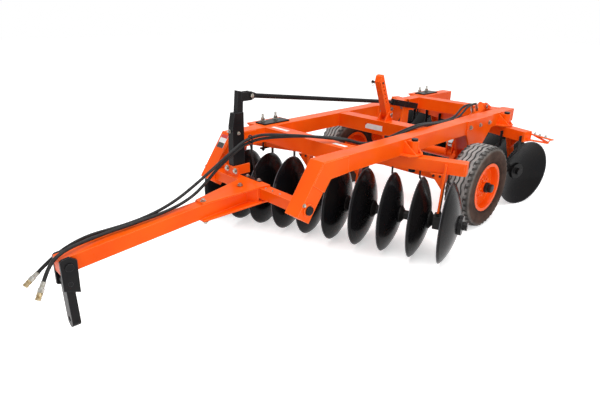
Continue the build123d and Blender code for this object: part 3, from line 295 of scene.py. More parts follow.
yellow_zinc = finish("yellow_zinc", (0.42, 0.33, 0.18), 0.32, metallic=1.0)
drift(yellow_zinc, 70.0, (0.46, 0.38, 0.24), (0.30, 0.20, 0.09))
surface(yellow_zinc, 0.001, 500.0, 0.00003)

chrome = finish("hard_chrome", (0.55, 0.56, 0.58), 0.12, metallic=1.0)
drift(chrome, 30.0, (0.57, 0.58, 0.60), (0.50, 0.51, 0.53))
surface(chrome, 0.001, 900.0, 0.00001)

hose_cover = finish("hose_cover", (0.012, 0.012, 0.013), 0.42, gloss=0.2)
drift(hose_cover, 25.0, (0.010, 0.010, 0.011), (0.022, 0.021, 0.020))
surface(hose_cover, 0.001, 300.0, 0.0001)

label_white = finish("label_white", (0.80, 0.80, 0.80), 0.4)
drift(label_white, 20.0, (0.82, 0.82, 0.82), (0.74, 0.74, 0.73))
label_red = finish("label_red", (0.62, 0.03, 0.02), 0.4)
drift(label_red, 20.0, (0.64, 0.03, 0.02), (0.55, 0.03, 0.02))
label_black = finish("label_black", (0.02, 0.02, 0.02), 0.4)
drift(label_black, 20.0, (0.02, 0.02, 0.02), (0.03, 0.03, 0.03))
print("finishes made:", len(bpy.data.materials))

# %% [markdown]
# ## Tyre rubber
# Dust lies where a tyre has rolled, so the tread is a pale grey and the side wall a dull brown.
# Both wheels turn on one line, so a distance from that line tells tread from wall.

# %% Tyre rubber
WHEEL_AXIS = (1490.0, 380.0)   # y and z of the wheels' line
wheel_centre = at(0, *WHEEL_AXIS)
tyre_rubber = finish("tyre_rubber", (0.10, 0.08, 0.07), 0.85, gloss=0.08)
tyre_place = add(tyre_rubber, "Mapping")
tyre_place.inputs["Location"].default_value = (0.0, -wheel_centre.y, -wheel_centre.z)
tyre_place.inputs["Scale"].default_value = (0.0, 1.0, 1.0)
link(tyre_rubber, add(tyre_rubber, "TexCoord"), "Object", tyre_place, "Vector")
tyre_radius = add(tyre_rubber, "VectorMath", operation="LENGTH")
link(tyre_rubber, tyre_place, "Vector", tyre_radius, 0)
tyre_zone = ramp(tyre_rubber, tyre_radius, "Value", [
    (0.225, (0.018, 0.016, 0.015)),     # shade at the bead
    (0.250, (0.055, 0.032, 0.025)),
    (0.335, (0.080, 0.052, 0.042)),     # the brown side wall
    (0.352, (0.16, 0.145, 0.135)),
    (0.366, (0.055, 0.052, 0.050)),     # the bottom of the grooves
    (0.378, (0.34, 0.335, 0.33)),       # dust on the ribs
])
tyre_dust = ramp(tyre_rubber, noise(tyre_rubber, 14.0, 6.0), "Fac",
                 [(0.35, (0.72, 0.72, 0.72)), (0.65, (1.15, 1.13, 1.10))])
tyre_mix = add(tyre_rubber, "Mix", data_type="RGBA", blend_type="MULTIPLY")
tyre_mix.inputs[0].default_value = 1.0
link(tyre_rubber, tyre_zone, "Color", tyre_mix, 6)
link(tyre_rubber, tyre_dust, "Color", tyre_mix, 7)
tyre_rubber.node_tree.links.new(tyre_mix.outputs[2], shader_of(tyre_rubber).inputs["Base Color"])
surface(tyre_rubber, 0.002, 180.0, 0.0003)
print("tyre nodes:", len(tyre_rubber.node_tree.nodes))

# %% [markdown]
# ## Giving the solids their finish
# The record names a slot for each solid, so the table below only says which finish fills it.

# %% Dress the solids
SLOT_FINISH = {
    "orange_paint": orange, "black_paint": black, "disc_steel": disc_black, "zinc": zinc,
    "rod_chrome": chrome, "tyre_rubber": tyre_rubber, "cast_black": casting,
    "hose_rubber": hose_cover,
}
SLOT_OF = {material.name: name for name, material in SLOT_FINISH.items()}
SLOT_OF["yellow_zinc"] = "zinc"
for part in frame["record"]["subparts"]:
    solid = frame["nodes"][part["node"]]
    solid.data.materials.clear()
    solid.data.materials.append(SLOT_FINISH[part["material_slot"]])
print("finishes:", sorted(SLOT_OF))

# %% [markdown]
# ## Modelling helpers
# Each new piece starts as a primitive and is shaped in edit mode. `settle` ends every piece: it
# puts the place into the mesh, gives the finish and lets the piece ride on its body.

# %% Modelling helpers
def alone(piece):
    """Selects just this piece and makes it the active one."""
    bpy.ops.object.select_all(action="DESELECT")
    piece.select_set(True)
    bpy.context.view_layer.objects.active = piece
    return piece


def newest(name):
    """The piece that an operator has just added, under its own name."""
    piece = bpy.context.object
    piece.name = name
    piece.data.name = name
    return alone(piece)


def fix_place(piece):
    """Puts a piece's place, turn and size into its mesh."""
    alone(piece)
    bpy.ops.object.transform_apply(location=True, rotation=True, scale=True)
    return piece


def pick(piece, test, kind="FACE"):
    """Edit mode with only the faces or corners selected whose middle passes a test."""
    alone(piece)
    bpy.ops.object.mode_set(mode="EDIT")
    bpy.ops.mesh.select_mode(type=kind)
    shape = bmesh.from_edit_mesh(piece.data)
    for item in [*shape.verts, *shape.edges, *shape.faces]:
        item.select = False
    for item in shape.verts if kind == "VERT" else shape.faces:
        corners = [item] if kind == "VERT" else item.verts
        middle = sum((corner.co for corner in corners), Vector()) / len(corners)
        if test(middle):
            item.select_set(True)
    bmesh.update_edit_mesh(piece.data)


def leave_edit():
    """Back to object mode."""
    bpy.ops.object.mode_set(mode="OBJECT")


def apply_modifier(piece, kind, **values):
    """Adds a modifier with the values given and applies it at once."""
    alone(piece)
    modifier = piece.modifiers.new(kind.lower(), kind)
    for name, value in values.items():
        setattr(modifier, name, value)
    bpy.ops.object.modifier_apply(modifier=modifier.name)


def soften(piece, width, segments=2):
    """Rounds a piece's sharp edges by a width in metres."""
    apply_modifier(piece, "BEVEL", width=width, segments=segments, limit_method="ANGLE")
    return piece


def join(name, pieces):
    """One piece of many, with its place in its mesh."""
    alone(pieces[0])
    for piece in pieces:
        piece.select_set(True)
    if len(pieces) > 1:
        bpy.ops.object.join()
    return fix_place(newest(name))


def settle(piece, material, body):
    """Ends a piece: its finish, smooth faces up to a crease, and the body that it moves with."""
    fix_place(piece)
    piece.data.materials.clear()
    piece.data.materials.append(material)
    bpy.ops.object.shade_smooth_by_angle(angle=math.radians(40))
    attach(piece, body)
    print(piece.name, "rides on", body, "with", len(piece.data.polygons), "faces")
    return piece


def copy_to(template, place):
    """A copy with its own mesh, set at a place given as a matrix."""
    copy = template.copy()
    copy.data = template.data.copy()
    copy.matrix_world = place
    bpy.context.scene.collection.objects.link(copy)
    return copy


def facing(point, outward):
    """The place of a piece whose own Z is turned outward."""
    return Matrix.Translation(point) @ Vector(outward).to_track_quat("Z", "Y").to_matrix().to_4x4()


def remove(template):
    """Deletes a template once its copies are made."""
    bpy.data.objects.remove(template)


# %% [markdown]
# ## A lathe
# Tyres, caps and rings are turned shapes. A plane is merged to one corner, the corner is extruded
# along the profile, and Spin turns the profile round its line.

# %% Lathe
def lathe(name, profile, centre, axis, steps):
    """Turns a closed profile of (along, radius) points in metres round an axis through centre."""
    bpy.ops.mesh.primitive_plane_add(size=0.01, location=(0, 0, 0))
    piece = newest(name)
    along = Vector(axis).normalized()
    outward = along.orthogonal().normalized()
    points = [along * a + outward * r for a, r in profile]
    bpy.ops.object.mode_set(mode="EDIT")
    bpy.ops.mesh.select_mode(type="VERT")
    bpy.ops.mesh.select_all(action="SELECT")
    bpy.ops.mesh.merge(type="CENTER")
    bpy.ops.transform.translate(value=points[0])
    for start, end in zip(points, points[1:] + points[:1]):
        bpy.ops.mesh.extrude_region_move(TRANSFORM_OT_translate={"value": end - start})
    bpy.ops.mesh.select_all(action="SELECT")
    bpy.ops.mesh.remove_doubles(threshold=0.00005)
    bpy.ops.mesh.spin(steps=steps, angle=2 * math.pi, center=(0, 0, 0), axis=along)
    bpy.ops.mesh.select_all(action="SELECT")
    bpy.ops.mesh.remove_doubles(threshold=0.00005)
    bpy.ops.mesh.normals_make_consistent(inside=False)
    leave_edit()
    piece.location = centre
    return fix_place(piece)


# %% [markdown]
# ## Tyres
# These are road tyres with four zigzag ribs and blocks on their shoulders. The carcass is one
# lathed ring, each rib a lathed ring whose corners are pushed sideways by turns, and one shoulder
# block is modelled and copied round both edges.

# %% Tyre carcass and tread
TRACK_HALF = 790.0        # from the middle to a wheel's middle plane
RIB_STEPS = 84
RIB_PLACES = (-0.060, -0.020, 0.020, 0.060)
RIB_HALF = 0.0125         # half of a rib's width
RIB_FOOT = 0.364          # radius of the tread's grooves
TREAD_RADIUS = 0.3795
CROWN = 0.9               # how fast the tread falls away from its middle
ZIGZAG = 0.0055
BLOCKS = 42               # shoulder blocks round each edge
BLOCK_OUT, BLOCK_UP = 0.0935, 0.3655    # a block's place from the wheel's plane and from its line
# Half of the tyre's section from the bead to the tread, as (out from the plane, radius).
SIDE = [(0.102, 0.2125), (0.1025, 0.229), (0.108, 0.236), (0.114, 0.252), (0.1165, 0.252),
        (0.1215, 0.276), (0.1228, 0.277), (0.1245, 0.300), (0.1245, 0.316), (0.1215, 0.334),
        (0.117, 0.345), (0.108, 0.356), (0.090, 0.3635), (0.045, 0.3675)]


def zigzag_rib(name, offset, centre):
    """A rib of the tread, with every other row of corners pushed to one side."""
    left, right = offset - RIB_HALF, offset + RIB_HALF
    top = TREAD_RADIUS - CROWN * offset * offset
    rib = lathe(name, [(left, RIB_FOOT), (left, top), (right, top), (right, RIB_FOOT)],
                centre, (1, 0, 0), RIB_STEPS)
    step = 2 * math.pi / RIB_STEPS

    def on_even_row(corner):
        angle = math.atan2(corner.z - centre.z, corner.y - centre.y)
        return round(angle / step) // 2 % 2 == 0

    pick(rib, on_even_row, "VERT")
    bpy.ops.transform.translate(value=(ZIGZAG, 0, 0))
    bpy.ops.mesh.select_all(action="INVERT")
    bpy.ops.transform.translate(value=(-ZIGZAG, 0, 0))
    leave_edit()
    return rib


def shoulder_block():
    """One block of the tyre's shoulder, at the top of the tyre, lying across its edge."""
    bpy.ops.mesh.primitive_cube_add(size=1.0, location=(0, 0, 0), scale=(0.036, 0.034, 0.018))
    block = fix_place(newest("shoulder_block"))
    pick(block, lambda middle: middle.x > 0.017)
    bpy.ops.transform.translate(value=(0, 0, -0.0105))
    bpy.ops.transform.resize(value=(1, 0.86, 1))
    leave_edit()
    return soften(block, 0.0015, 1)


WHEELS = (("near", 1), ("far", -1))
for which, side in WHEELS:
    centre = at(side * TRACK_HALF, *WHEEL_AXIS)
    profile = SIDE + [(-a, r) for a, r in reversed(SIDE)]
    carcass = lathe(f"{which}_tyre_carcass", profile, centre, (1, 0, 0), 96)
    ribs = [zigzag_rib("rib", offset, centre) for offset in RIB_PLACES]
    block = shoulder_block()
    blocks = []
    for edge in (-1, 1):
        for i in range(BLOCKS):
            turn = Matrix.Rotation(2 * math.pi * (i + (edge > 0) / 2) / BLOCKS, 4, "X")
            half_turn = Matrix.Rotation(0 if edge > 0 else math.pi, 4, "Z")
            lift = Matrix.Translation((edge * BLOCK_OUT, 0, BLOCK_UP))
            blocks.append(copy_to(block, Matrix.Translation(centre) @ turn @ lift @ half_turn))
    remove(block)
    tyre = join(f"{which}_tyre_dressed", [carcass, *ribs, *blocks])
    settle(tyre, tyre_rubber, f"{which}_wheel")
    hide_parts(f"{which}_tyre")

# %% [markdown]
# ## Fasteners
# Bolts are what makes a machine look bolted together. For each group, a hexagon head or a nut on
# its stud is modelled at the origin, and copies are turned to stand out of the plates.

# %% Bolt and nut
def hexagon(name, across, height):
    """A hexagon with a chamfered top, standing on a washer at the origin."""
    bpy.ops.mesh.primitive_cylinder_add(vertices=6, radius=across * 0.577, depth=height,
                                        location=(0, 0, height / 2))
    head = fix_place(newest(name))
    pick(head, lambda middle: middle.z > height * 0.99)
    bpy.ops.mesh.inset(thickness=across * 0.07)
    bpy.ops.transform.translate(value=(0, 0, height * 0.10))
    leave_edit()
    bpy.ops.mesh.primitive_cylinder_add(vertices=20, radius=across * 0.86, depth=height * 0.24,
                                        location=(0, 0, height * 0.06))
    washer = fix_place(newest("washer"))
    return join(name, [head, washer])


def bolt_head(across):
    """A bolt's head, so wide across its flats."""
    return hexagon("bolt_head", across, across * 0.62)


def nut_on_stud(across, stud):
    """A nut with the rounded end of its stud standing out of it."""
    nut = hexagon("nut", across, across * 0.8)
    radius = across * 0.31
    bpy.ops.mesh.primitive_cylinder_add(vertices=18, radius=radius, depth=stud,
                                        location=(0, 0, stud / 2))
    end = fix_place(newest("stud"))
    pick(end, lambda middle: middle.z > stud * 0.99)
    bpy.ops.mesh.bevel(offset=radius * 0.35, segments=2)
    leave_edit()
    return join("nut_on_stud", [nut, end])


def fasten(name, template, places, material, body):
    """Copies of a fastener at (point, outward) places, joined to one piece."""
    copies = [copy_to(template, facing(point, outward)) for point, outward in places]
    remove(template)
    return settle(join(name, copies), material, body)


# %% [markdown]
# ## Bolts of the frame
# Three bolts hold each bearing plate, others the clamps, the mast's foot and the strap of the
# hose holder. Their places were read from the photograph on the face that carries them.

# %% Frame and clamp bolts
LEFT, RIGHT, FRONT, UP, DOWN = (1, 0, 0), (-1, 0, 0), (0, -1, 0), (0, 0, 1), (0, 0, -1)
BEARING_PLATE = 12.7      # the plates that carry the rockshaft
PLATE_BOLTS = ((1605, 864), (1789, 862), (1971, 861))
HITCH_FRONT, HITCH_TOP = -530.4, 657.6    # front and top faces of the hitch's cross tube
HITCH_PIN = (-490.4, 617.6)               # y and z of the two pins that the hitch swings on
HITCH_PLATE = 12.0        # the plates over and under the tongue's rear end
HOLDER_TOP = HITCH_TOP + 18.0             # top face of the hose holder's strap
MAST_FOOT = (-512.0, 708.0)               # y and z of the bolts in the mast's foot
MAST_CLAMP = (-440.0, 985.0)              # y and z of the bolt across the mast
TONGUE_HALF, TONGUE_DEPTH = 48.0, 100.0
TONGUE_RISE = math.tan(math.radians(4.5))
CLAMP_X = -624.0
CLAMP_BOLT_SPREAD = 75.0
CLAMP_TOP = BEAM_TOP + 12.5               # top face of a gang clamp's cap


def hitch_slope(y):
    """Height of the tongue's top face in front of the cross tube."""
    return HITCH_TOP + (y - HITCH_FRONT) * TONGUE_RISE


fasten("bearing_plate_bolts", bolt_head(0.026), [
    (at(side * face, y, z), (side * way, 0, 0))
    for face, way in ((BEAM_OUTER + BEARING_PLATE, 1), (BEAM_INNER - BEARING_PLATE, -1))
    for side in (1, -1) for y, z in PLATE_BOLTS
], zinc, "frame")
fasten("hose_strap_bolts", bolt_head(0.020), [
    (at(x, -456, HOLDER_TOP), UP) for x in (-120, 18)
], zinc, "hitch")
fasten("mast_foot_bolts", bolt_head(0.026), [
    (at(x, *MAST_FOOT), FRONT) for x in (-304, -199)
], zinc, "hitch")
fasten("hitch_plate_bolts", bolt_head(0.024), [
    (at(-2, -617, HITCH_TOP + HITCH_PLATE), UP),
    (at(12, -944, hitch_slope(-944) + HITCH_PLATE), UP),
    (at(70, -972, hitch_slope(-972) - TONGUE_DEPTH - HITCH_PLATE), DOWN),
], zinc, "hitch")
fasten("hitch_tube_screws", bolt_head(0.010), [
    (at(x, -500, HITCH_TOP), UP) for x in (152, 228, 308)
], zinc, "hitch")
fasten("mast_clamp_bolts", nut_on_stud(0.017, 0.022), [
    (at(-282, -492, 1000), FRONT), (at(-239, *MAST_CLAMP), LEFT),
], zinc, "hitch")
fasten("mast_clamp_head", bolt_head(0.024), [(at(-301, *MAST_CLAMP), RIGHT)], casting, "hitch")
fasten("boss_bolts", bolt_head(0.017), [
    (at(side * BEAM_OUTER, -526, 660), (side, 0, 0)) for side in (1, -1)
], zinc, "frame")
for gang in GANG_ANGLES:
    y = beam_y(gang, CLAMP_X)
    studs = [(at(CLAMP_X, y + way * CLAMP_BOLT_SPREAD, CLAMP_TOP), UP) for way in (-1, 1)]
    fasten(f"{gang}_clamp_nuts", nut_on_stud(0.034, 0.064), studs, zinc, f"{gang}_gang")

# %% [markdown]
# ## Pin heads, cotters and bosses
# The leg pins get a dome and a boss, the smaller pins a round head and a cotter at each end. A
# cotter is a bent wire, drawn as a short curve.

# %% Pin heads
PIN_FACE = BEAM_OUTER + 16.0            # outer face of a leg pin
ROD_X = -270.0                          # middle plane of the mast and the levelling rod
FORK_PIN = (-301.0, 1255.0)             # y and z of the pin in the mast's fork
LOCK_PIVOT = (1040.0, 980.0)
# Each pin's name, x of its middle, y and z, half length, radius of its heads, and body.
PINS = (
    ("lock_arm_pin", 40.0, LOCK_PIVOT, 57.0, 0.017, "frame"),
    ("cylinder_rear_pin", 350.0, (2288.0, 949.0), 47.0, 0.018, "frame"),
    ("cylinder_front_pin", 350.0, (1745.0, 640.0), 47.0, 0.018, "axle"),
    ("mast_fork_pin", ROD_X, FORK_PIN, 34.0, 0.016, "hitch"),
)


def round_head(name, radius, height, point, outward):
    """A domed round head that stands on a face."""
    head = lathe(name, [(-0.002, 0.0), (-0.002, radius), (height * 0.55, radius),
                        (height * 0.9, radius * 0.82), (height, radius * 0.5), (height, 0.0)],
                 (0, 0, 0), (0, 0, 1), 28)
    head.matrix_world = facing(point, outward)
    return fix_place(head)


def nurbs(name, points, resolution):
    """A NURBS spline that starts and ends at its first and last point, in the scene's metres."""
    curve = bpy.data.curves.new(name, "CURVE")
    curve.dimensions = "3D"
    curve.resolution_u = resolution
    spline = curve.splines.new("NURBS")
    spline.points.add(len(points) - 1)
    for corner, point in zip(spline.points, points):
        corner.co = (*point, 1.0)
    spline.order_u = min(3, len(points))
    spline.use_endpoint_u = True
    piece = bpy.data.objects.new(name, curve)
    bpy.context.scene.collection.objects.link(piece)
    return alone(piece)


def thicken(piece, radius, resolution):
    """Turns a spline into a round bar's mesh with closed ends."""
    name = piece.name
    piece.data.bevel_depth = radius
    piece.data.bevel_resolution = resolution
    piece.data.use_fill_caps = True
    bpy.ops.object.convert(target="MESH")
    return newest(name)


def wire(name, points, radius):
    """A round wire or bar along points given in the scene's metres."""
    return thicken(nurbs(name, points, 6), radius, 3)


def cotter(point, outward):
    """A bent wire through a pin's end."""
    low, high = Vector((0, 0, -0.022)), Vector((0, 0, 0.024))
    side = Vector(outward).cross(UP)
    return wire("cotter", [point + high, point + side * 0.008 + high * 0.6, point, point + low,
                           point + low + side * 0.012], 0.0022)


leg_heads, leg_bosses = [], []
for side in (1, -1):
    outward = (side, 0, 0)
    leg_heads.append(round_head("leg_pin_dome", 0.031, 0.012, at(side * PIN_FACE, *HITCH_PIN),
                                outward))
    boss = lathe("boss", [(0.0, 0.033), (0.0, 0.046), (0.009, 0.046), (0.011, 0.044),
                          (0.011, 0.033)], (0, 0, 0), (0, 0, 1), 32)
    boss.matrix_world = facing(at(side * BEAM_OUTER, *HITCH_PIN), outward)
    leg_bosses.append(fix_place(boss))
settle(join("leg_pin_domes", leg_heads), black, "frame")
settle(join("leg_pin_bosses", leg_bosses), orange, "frame")

for name, x, pin, half, radius, body in PINS:
    ends = []
    for side in (1, -1):
        end = at(x + side * half, *pin)
        ends.append(round_head("end", radius, 0.007, end, (side, 0, 0)))
        ends.append(cotter(end + Vector((side * 0.010, 0, 0)), (side, 0, 0)))
    settle(join(f"{name}_ends", ends), zinc, body)

# %% [markdown]
# ## The lock arm's own pin
# A loose pin stands through the upper end of the arm, above its row of holes, with a wire ring
# at its head.

# %% Lock pin
LOCK_LEAN = math.radians(23.0)
LOCK_PIN_UP = 320.0       # along the arm from its pivot
RING_RADIUS = 17.0
lock_y = LOCK_PIVOT[0] - LOCK_PIN_UP * math.sin(LOCK_LEAN)
lock_z = LOCK_PIVOT[1] + LOCK_PIN_UP * math.cos(LOCK_LEAN)
stem = wire("lock_pin", [at(-44, lock_y, lock_z), at(77, lock_y, lock_z)], 0.009)
knob = round_head("knob", 0.014, 0.010, at(-42, lock_y, lock_z), RIGHT)
settle(join("lock_pin", [stem, knob]), black, "lock_arm")
ring_line = []
for i in range(13):
    turn = i * math.pi / 6
    ring_line.append(at(-38, lock_y + RING_RADIUS * math.cos(turn),
                        lock_z - RING_RADIUS + RING_RADIUS * math.sin(turn)))
settle(wire("lock_pin_ring", ring_line, 0.002), zinc, "lock_arm")

# %% [markdown]
# ## Levelling rod
# The rod is a painted pipe, thicker than its ends: a turned sleeve from the fork to the flat.

# %% Rod pipe
ROD_JOINT = (1620.0, 980.0)             # y and z where the rod is bolted to its straps
rod_start = at(ROD_X, *FORK_PIN)
rod_line = at(ROD_X, *ROD_JOINT) - rod_start
reach = rod_line.length
rod_pipe = lathe("levelling_pipe", [
    (0.044, 0.0135), (0.045, 0.0165), (0.052, 0.0185),
    (reach * 0.93, 0.0185), (reach * 0.945, 0.0160), (reach * 0.95, 0.0135),
], (0, 0, 0), (0, 0, 1), 28)
rod_pipe.matrix_world = facing(rod_start, rod_line)
settle(rod_pipe, black, "levelling_rod")

# %% [markdown]
# ## Ends of the gang beams and the scraper frame
# Each gang beam is closed by welded plates. Behind the left end of the rear one stands the open
# frame that carries the outer scraper: two flat bars, a cross piece and a tip bar, with four
# bolts in the upper bar.

# %% Gang beam ends
# Where each gang beam ends, along the line of its discs.
BEAM_ENDS = {"front": (70.0, -2100.0), "rear": (-7.0, -GANG_SPAN - 65.0)}
END_PLATE = GANG_BEAM - 2.0
BAR_LAP = 0.02            # what a flat bar is longer than the run between its points


def flat_bar(name, start, end, width, thickness):
    """A flat bar between two drawing points, its width level."""
    run = at(*end) - at(*start)
    bpy.ops.mesh.primitive_cube_add(size=1.0, scale=(width * MM, thickness * MM,
                                                     run.length + BAR_LAP))
    bar = soften(fix_place(newest(name)), 0.0015, 1)
    across = Vector(UP).cross(run).normalized()
    depth = run.normalized().cross(across)
    middle = (at(*start) + at(*end)) / 2
    bar.matrix_world = Matrix.Translation(middle) @ Matrix(
        (across, depth, run.normalized())).transposed().to_4x4()
    return fix_place(bar)


for gang, ends in BEAM_ENDS.items():
    plates = []
    for end, outward in zip(ends, (1, -1)):
        first = in_gang(gang, end + outward * 2, BEAM_OFFSET, BEAM_LEVEL)
        second = in_gang(gang, end + outward * 5, BEAM_OFFSET, BEAM_LEVEL)
        plates.append(flat_bar("beam_end", first, second, END_PLATE, END_PLATE))
    settle(join(f"{gang}_beam_ends", plates), orange, f"{gang}_gang")

upper_start, upper_end = (880, 2236, 762), (1133, 2168, 756)
lower_start, lower_end = (900, 2170, 716), (1096, 2178, 716)
frame_bars = [
    flat_bar("upper_bar", upper_start, upper_end, 34.0, 10.0),
    flat_bar("lower_bar", lower_start, lower_end, 42.0, 10.0),
    flat_bar("cross_bar", (960, 2214, 756), (1092, 2182, 722), 30.0, 10.0),
    flat_bar("tip_bar", (1120, 2168, 748), (1100, 2168, 722), 40.0, 8.0),
]
settle(join("outer_scraper_frame", frame_bars), orange, "rear_gang")
bolt_places = []
for share in (0.10, 0.30, 0.50, 0.74):
    point = at(*(a + (b - a) * share for a, b in zip(upper_start, upper_end)))
    bolt_places.append((point + Vector((0, 0, 0.004)), UP))
fasten("outer_scraper_bolts", nut_on_stud(0.018, 0.026), bolt_places, zinc, "rear_gang")

# %% [markdown]
# ## Hanger bolts
# Two bolts hold each bearing hanger to its gang beam, and two more hold each bearing's cap.

# %% Hanger bolts
HANGER_SPACES = (0, 3, 5, 8)            # spaces between discs that hold a bearing
BEARING_PLACES = [-(space + 1) * DISC_PITCH + 165.0 for space in HANGER_SPACES]
HANGER_FACE = BEAM_OFFSET - GANG_BEAM / 2 - 12.0
HANGER_LEVEL = BEAM_LEVEL - 68.0        # height of a hanger's bolts above the line of discs
HANGER_BOLTS = (-84.0, -34.0)           # and their places from the bearing
CAP_TOP, CAP_BOLT = 62.0, 36.0          # a bearing cap's height, and its bolts from the middle
for gang, angle in GANG_ANGLES.items():
    turned = math.radians(angle)
    ahead = (math.sin(turned), -math.cos(turned), 0)
    places = []
    for along in BEARING_PLACES:
        for offset in HANGER_BOLTS:
            places.append((at(*in_gang(gang, along + offset, HANGER_FACE, HANGER_LEVEL)), ahead))
        for way in (-1, 1):
            places.append((at(*in_gang(gang, along, way * CAP_BOLT, CAP_TOP)), UP))
    fasten(f"{gang}_hanger_bolts", bolt_head(0.019), places, casting, f"{gang}_gang")

# %% [markdown]
# ## Weld beads
# A bead is a rippled round line along a seam. Straight runs between drawing points are enough.

# %% Weld beads
BEAD_STEP, BEAD_RIPPLE, BEAD_RADIUS = 0.006, 0.0006, 0.0034     # metres
GANG_PIN_X = 636.0        # both gangs pivot this far left of the middle
TOP_PLATE_FRONT = -970.0  # front edge of the plate over the tongue


def bead(*points):
    """One bead along a broken line of drawing points."""
    runs = []
    for start, end in zip(points, points[1:]):
        first, last = at(*start), at(*end)
        steps = max(2, int((last - first).length / BEAD_STEP))
        line = [first.lerp(last, i / steps) + Vector((BEAD_RIPPLE,) * 3) * (-1) ** i
                for i in range(steps + 1)]
        runs.append(wire("bead", line, BEAD_RADIUS))
    return runs


def tongue_bead(x, rear_y, front_y, down):
    """A bead along the tongue's side, so far below its top face."""
    return bead((x, front_y, hitch_slope(front_y) - down), (x, rear_y, hitch_slope(rear_y) - down))


frame_beads = []
for front in CROSS_BEAMS:
    for side in (1, -1):
        x, rear = side * (BEAM_INNER - 1.5), front + BEAM
        frame_beads += bead((x, front, BEAM_BOTTOM), (x, front, BEAM_TOP), (x, rear, BEAM_TOP),
                            (x, rear, BEAM_BOTTOM), (x, front, BEAM_BOTTOM))
for side in (1, -1):        # front and rear edges of the bearing plates
    for x in (side * (BEAM_OUTER + 1), side * (BEAM_INNER - 1)):
        frame_beads += bead((x, 1554, BEAM_BOTTOM), (x, 1556, BEAM_TOP - 2))
        frame_beads += bead((x, 2032, BEAM_BOTTOM + 9), (x, 2032, BEAM_TOP - 2))
for x in (3, 77):           # the lock arm's lugs
    frame_beads += bead((x, 966, BEAM_TOP + 1), (x, 1074, BEAM_TOP + 1))
for x in (312, 388):        # the cylinder's rear lugs
    frame_beads += bead((x, 2328, BEAM_TOP + 1), (x, 2418, BEAM_TOP + 1))
for gang in GANG_ANGLES:    # the gangs' pivot brackets
    x, y = BEAM_OUTER + 1, beam_y(gang, GANG_PIN_X)
    frame_beads += bead((x, y - 104, BEAM_BOTTOM + 13), (x, y + 104, BEAM_BOTTOM + 13))
settle(join("frame_beads", frame_beads), orange, "frame")

y, z = TOP_PLATE_FRONT - 1, hitch_slope(TOP_PLATE_FRONT - 1) + 1
hitch_beads = bead((-TONGUE_HALF, y, z), (TONGUE_HALF, y, z))
for side in (1, -1):
    x, y = side * (TONGUE_HALF + 1), HITCH_FRONT - 1
    hitch_beads += tongue_bead(x, -600, -988, TONGUE_DEPTH - 1)
    hitch_beads += tongue_bead(x, -600, -966, 1)
    hitch_beads += bead((side * 112, y, HITCH_TOP - 78), (side * 112, y, HITCH_TOP - 2))
hitch_beads += bead((-345, -513, HITCH_TOP + 1), (-175, -513, HITCH_TOP + 1))
hitch_beads += bead((-227, -500, HITCH_TOP + 1), (-227, -450, HITCH_TOP + 1))
settle(join("hitch_beads", hitch_beads), orange, "hitch")

# %% [markdown]
# ## Labels
# Plain stickers lie on one leg and on two cross beams: bands of white, red and black.

# %% Labels
BEND_Y = -352.0           # where a side beam's top face bends down into its leg
LEG_SLOPE = math.radians(35.0)


def stick_label(name, material, corners):
    """A sticker through four drawing points, standing a little proud of its face."""
    bpy.ops.mesh.primitive_plane_add(size=1.0)
    sticker = newest(name)
    for corner, place in zip((0, 1, 3, 2), corners):
        sticker.data.vertices[corner].co = at(*place)
    apply_modifier(sticker, "SOLIDIFY", thickness=0.0012, offset=0.0)
    bpy.ops.object.mode_set(mode="EDIT")
    bpy.ops.mesh.select_all(action="SELECT")
    bpy.ops.mesh.normals_make_consistent(inside=False)
    leave_edit()
    return settle(sticker, material, "frame")


def on_beam_top(x0, x1):
    """Corners of a label on the front cross beam's top face."""
    z = BEAM_TOP + 0.4
    return [(x0, 40, z), (x1, 40, z), (x1, 76, z), (x0, 76, z)]


def on_cross_beam(points, proud):
    """Corners given across and up, on the middle cross beam's front face."""
    return [(x, CROSS_BEAMS[1] - proud, z) for x, z in points]


def on_leg(x0, x1, bottom, top, layer=0):
    """Corners on the right leg's front face, between two distances down from its bend."""
    corners = []
    for x, down in ((x0, bottom), (x1, bottom), (x1, top), (x0, top)):
        y = BEND_Y - down * math.sin(LEG_SLOPE) - 0.6 - 0.5 * layer
        z = BEAM_TOP - down * math.cos(LEG_SLOPE) + 0.4 + 0.3 * layer
        corners.append((x, y, z))
    return corners


LABELS = {
    "beam_label_far": (label_white, on_beam_top(-421, -223)),
    "beam_label_near": (label_white, on_beam_top(294, 422)),
    "cross_beam_label": (label_white, on_cross_beam(
        [(-123, 836), (75, 836), (75, 884), (-123, 884)], 0.4)),
    "cross_beam_label_corner": (label_red, on_cross_beam(
        [(-123, 862), (-98, 884), (-112, 884), (-123, 884)], 0.8)),
    "leg_label": (label_white, on_leg(-566, -480, 138, 22)),
    "leg_label_red": (label_red, on_leg(-564, -482, 52, 22, layer=1)),
    "leg_label_black": (label_black, on_leg(-564, -482, 138, 94, layer=1)),
}
for name, (material, corners) in LABELS.items():
    stick_label(name, material, corners)

# %% [markdown]
# ## Wheels
# Six nuts and a black cap with a hexagon plug finish each hub.

# %% Hubs
NUTS = 6
NUT_CIRCLE = 0.075        # radius of the nuts' circle
RIM_FACE = 0.063          # the dished disc's face, outwards from the wheel's middle plane
HUB_FACE = 0.103          # the hub's outer end
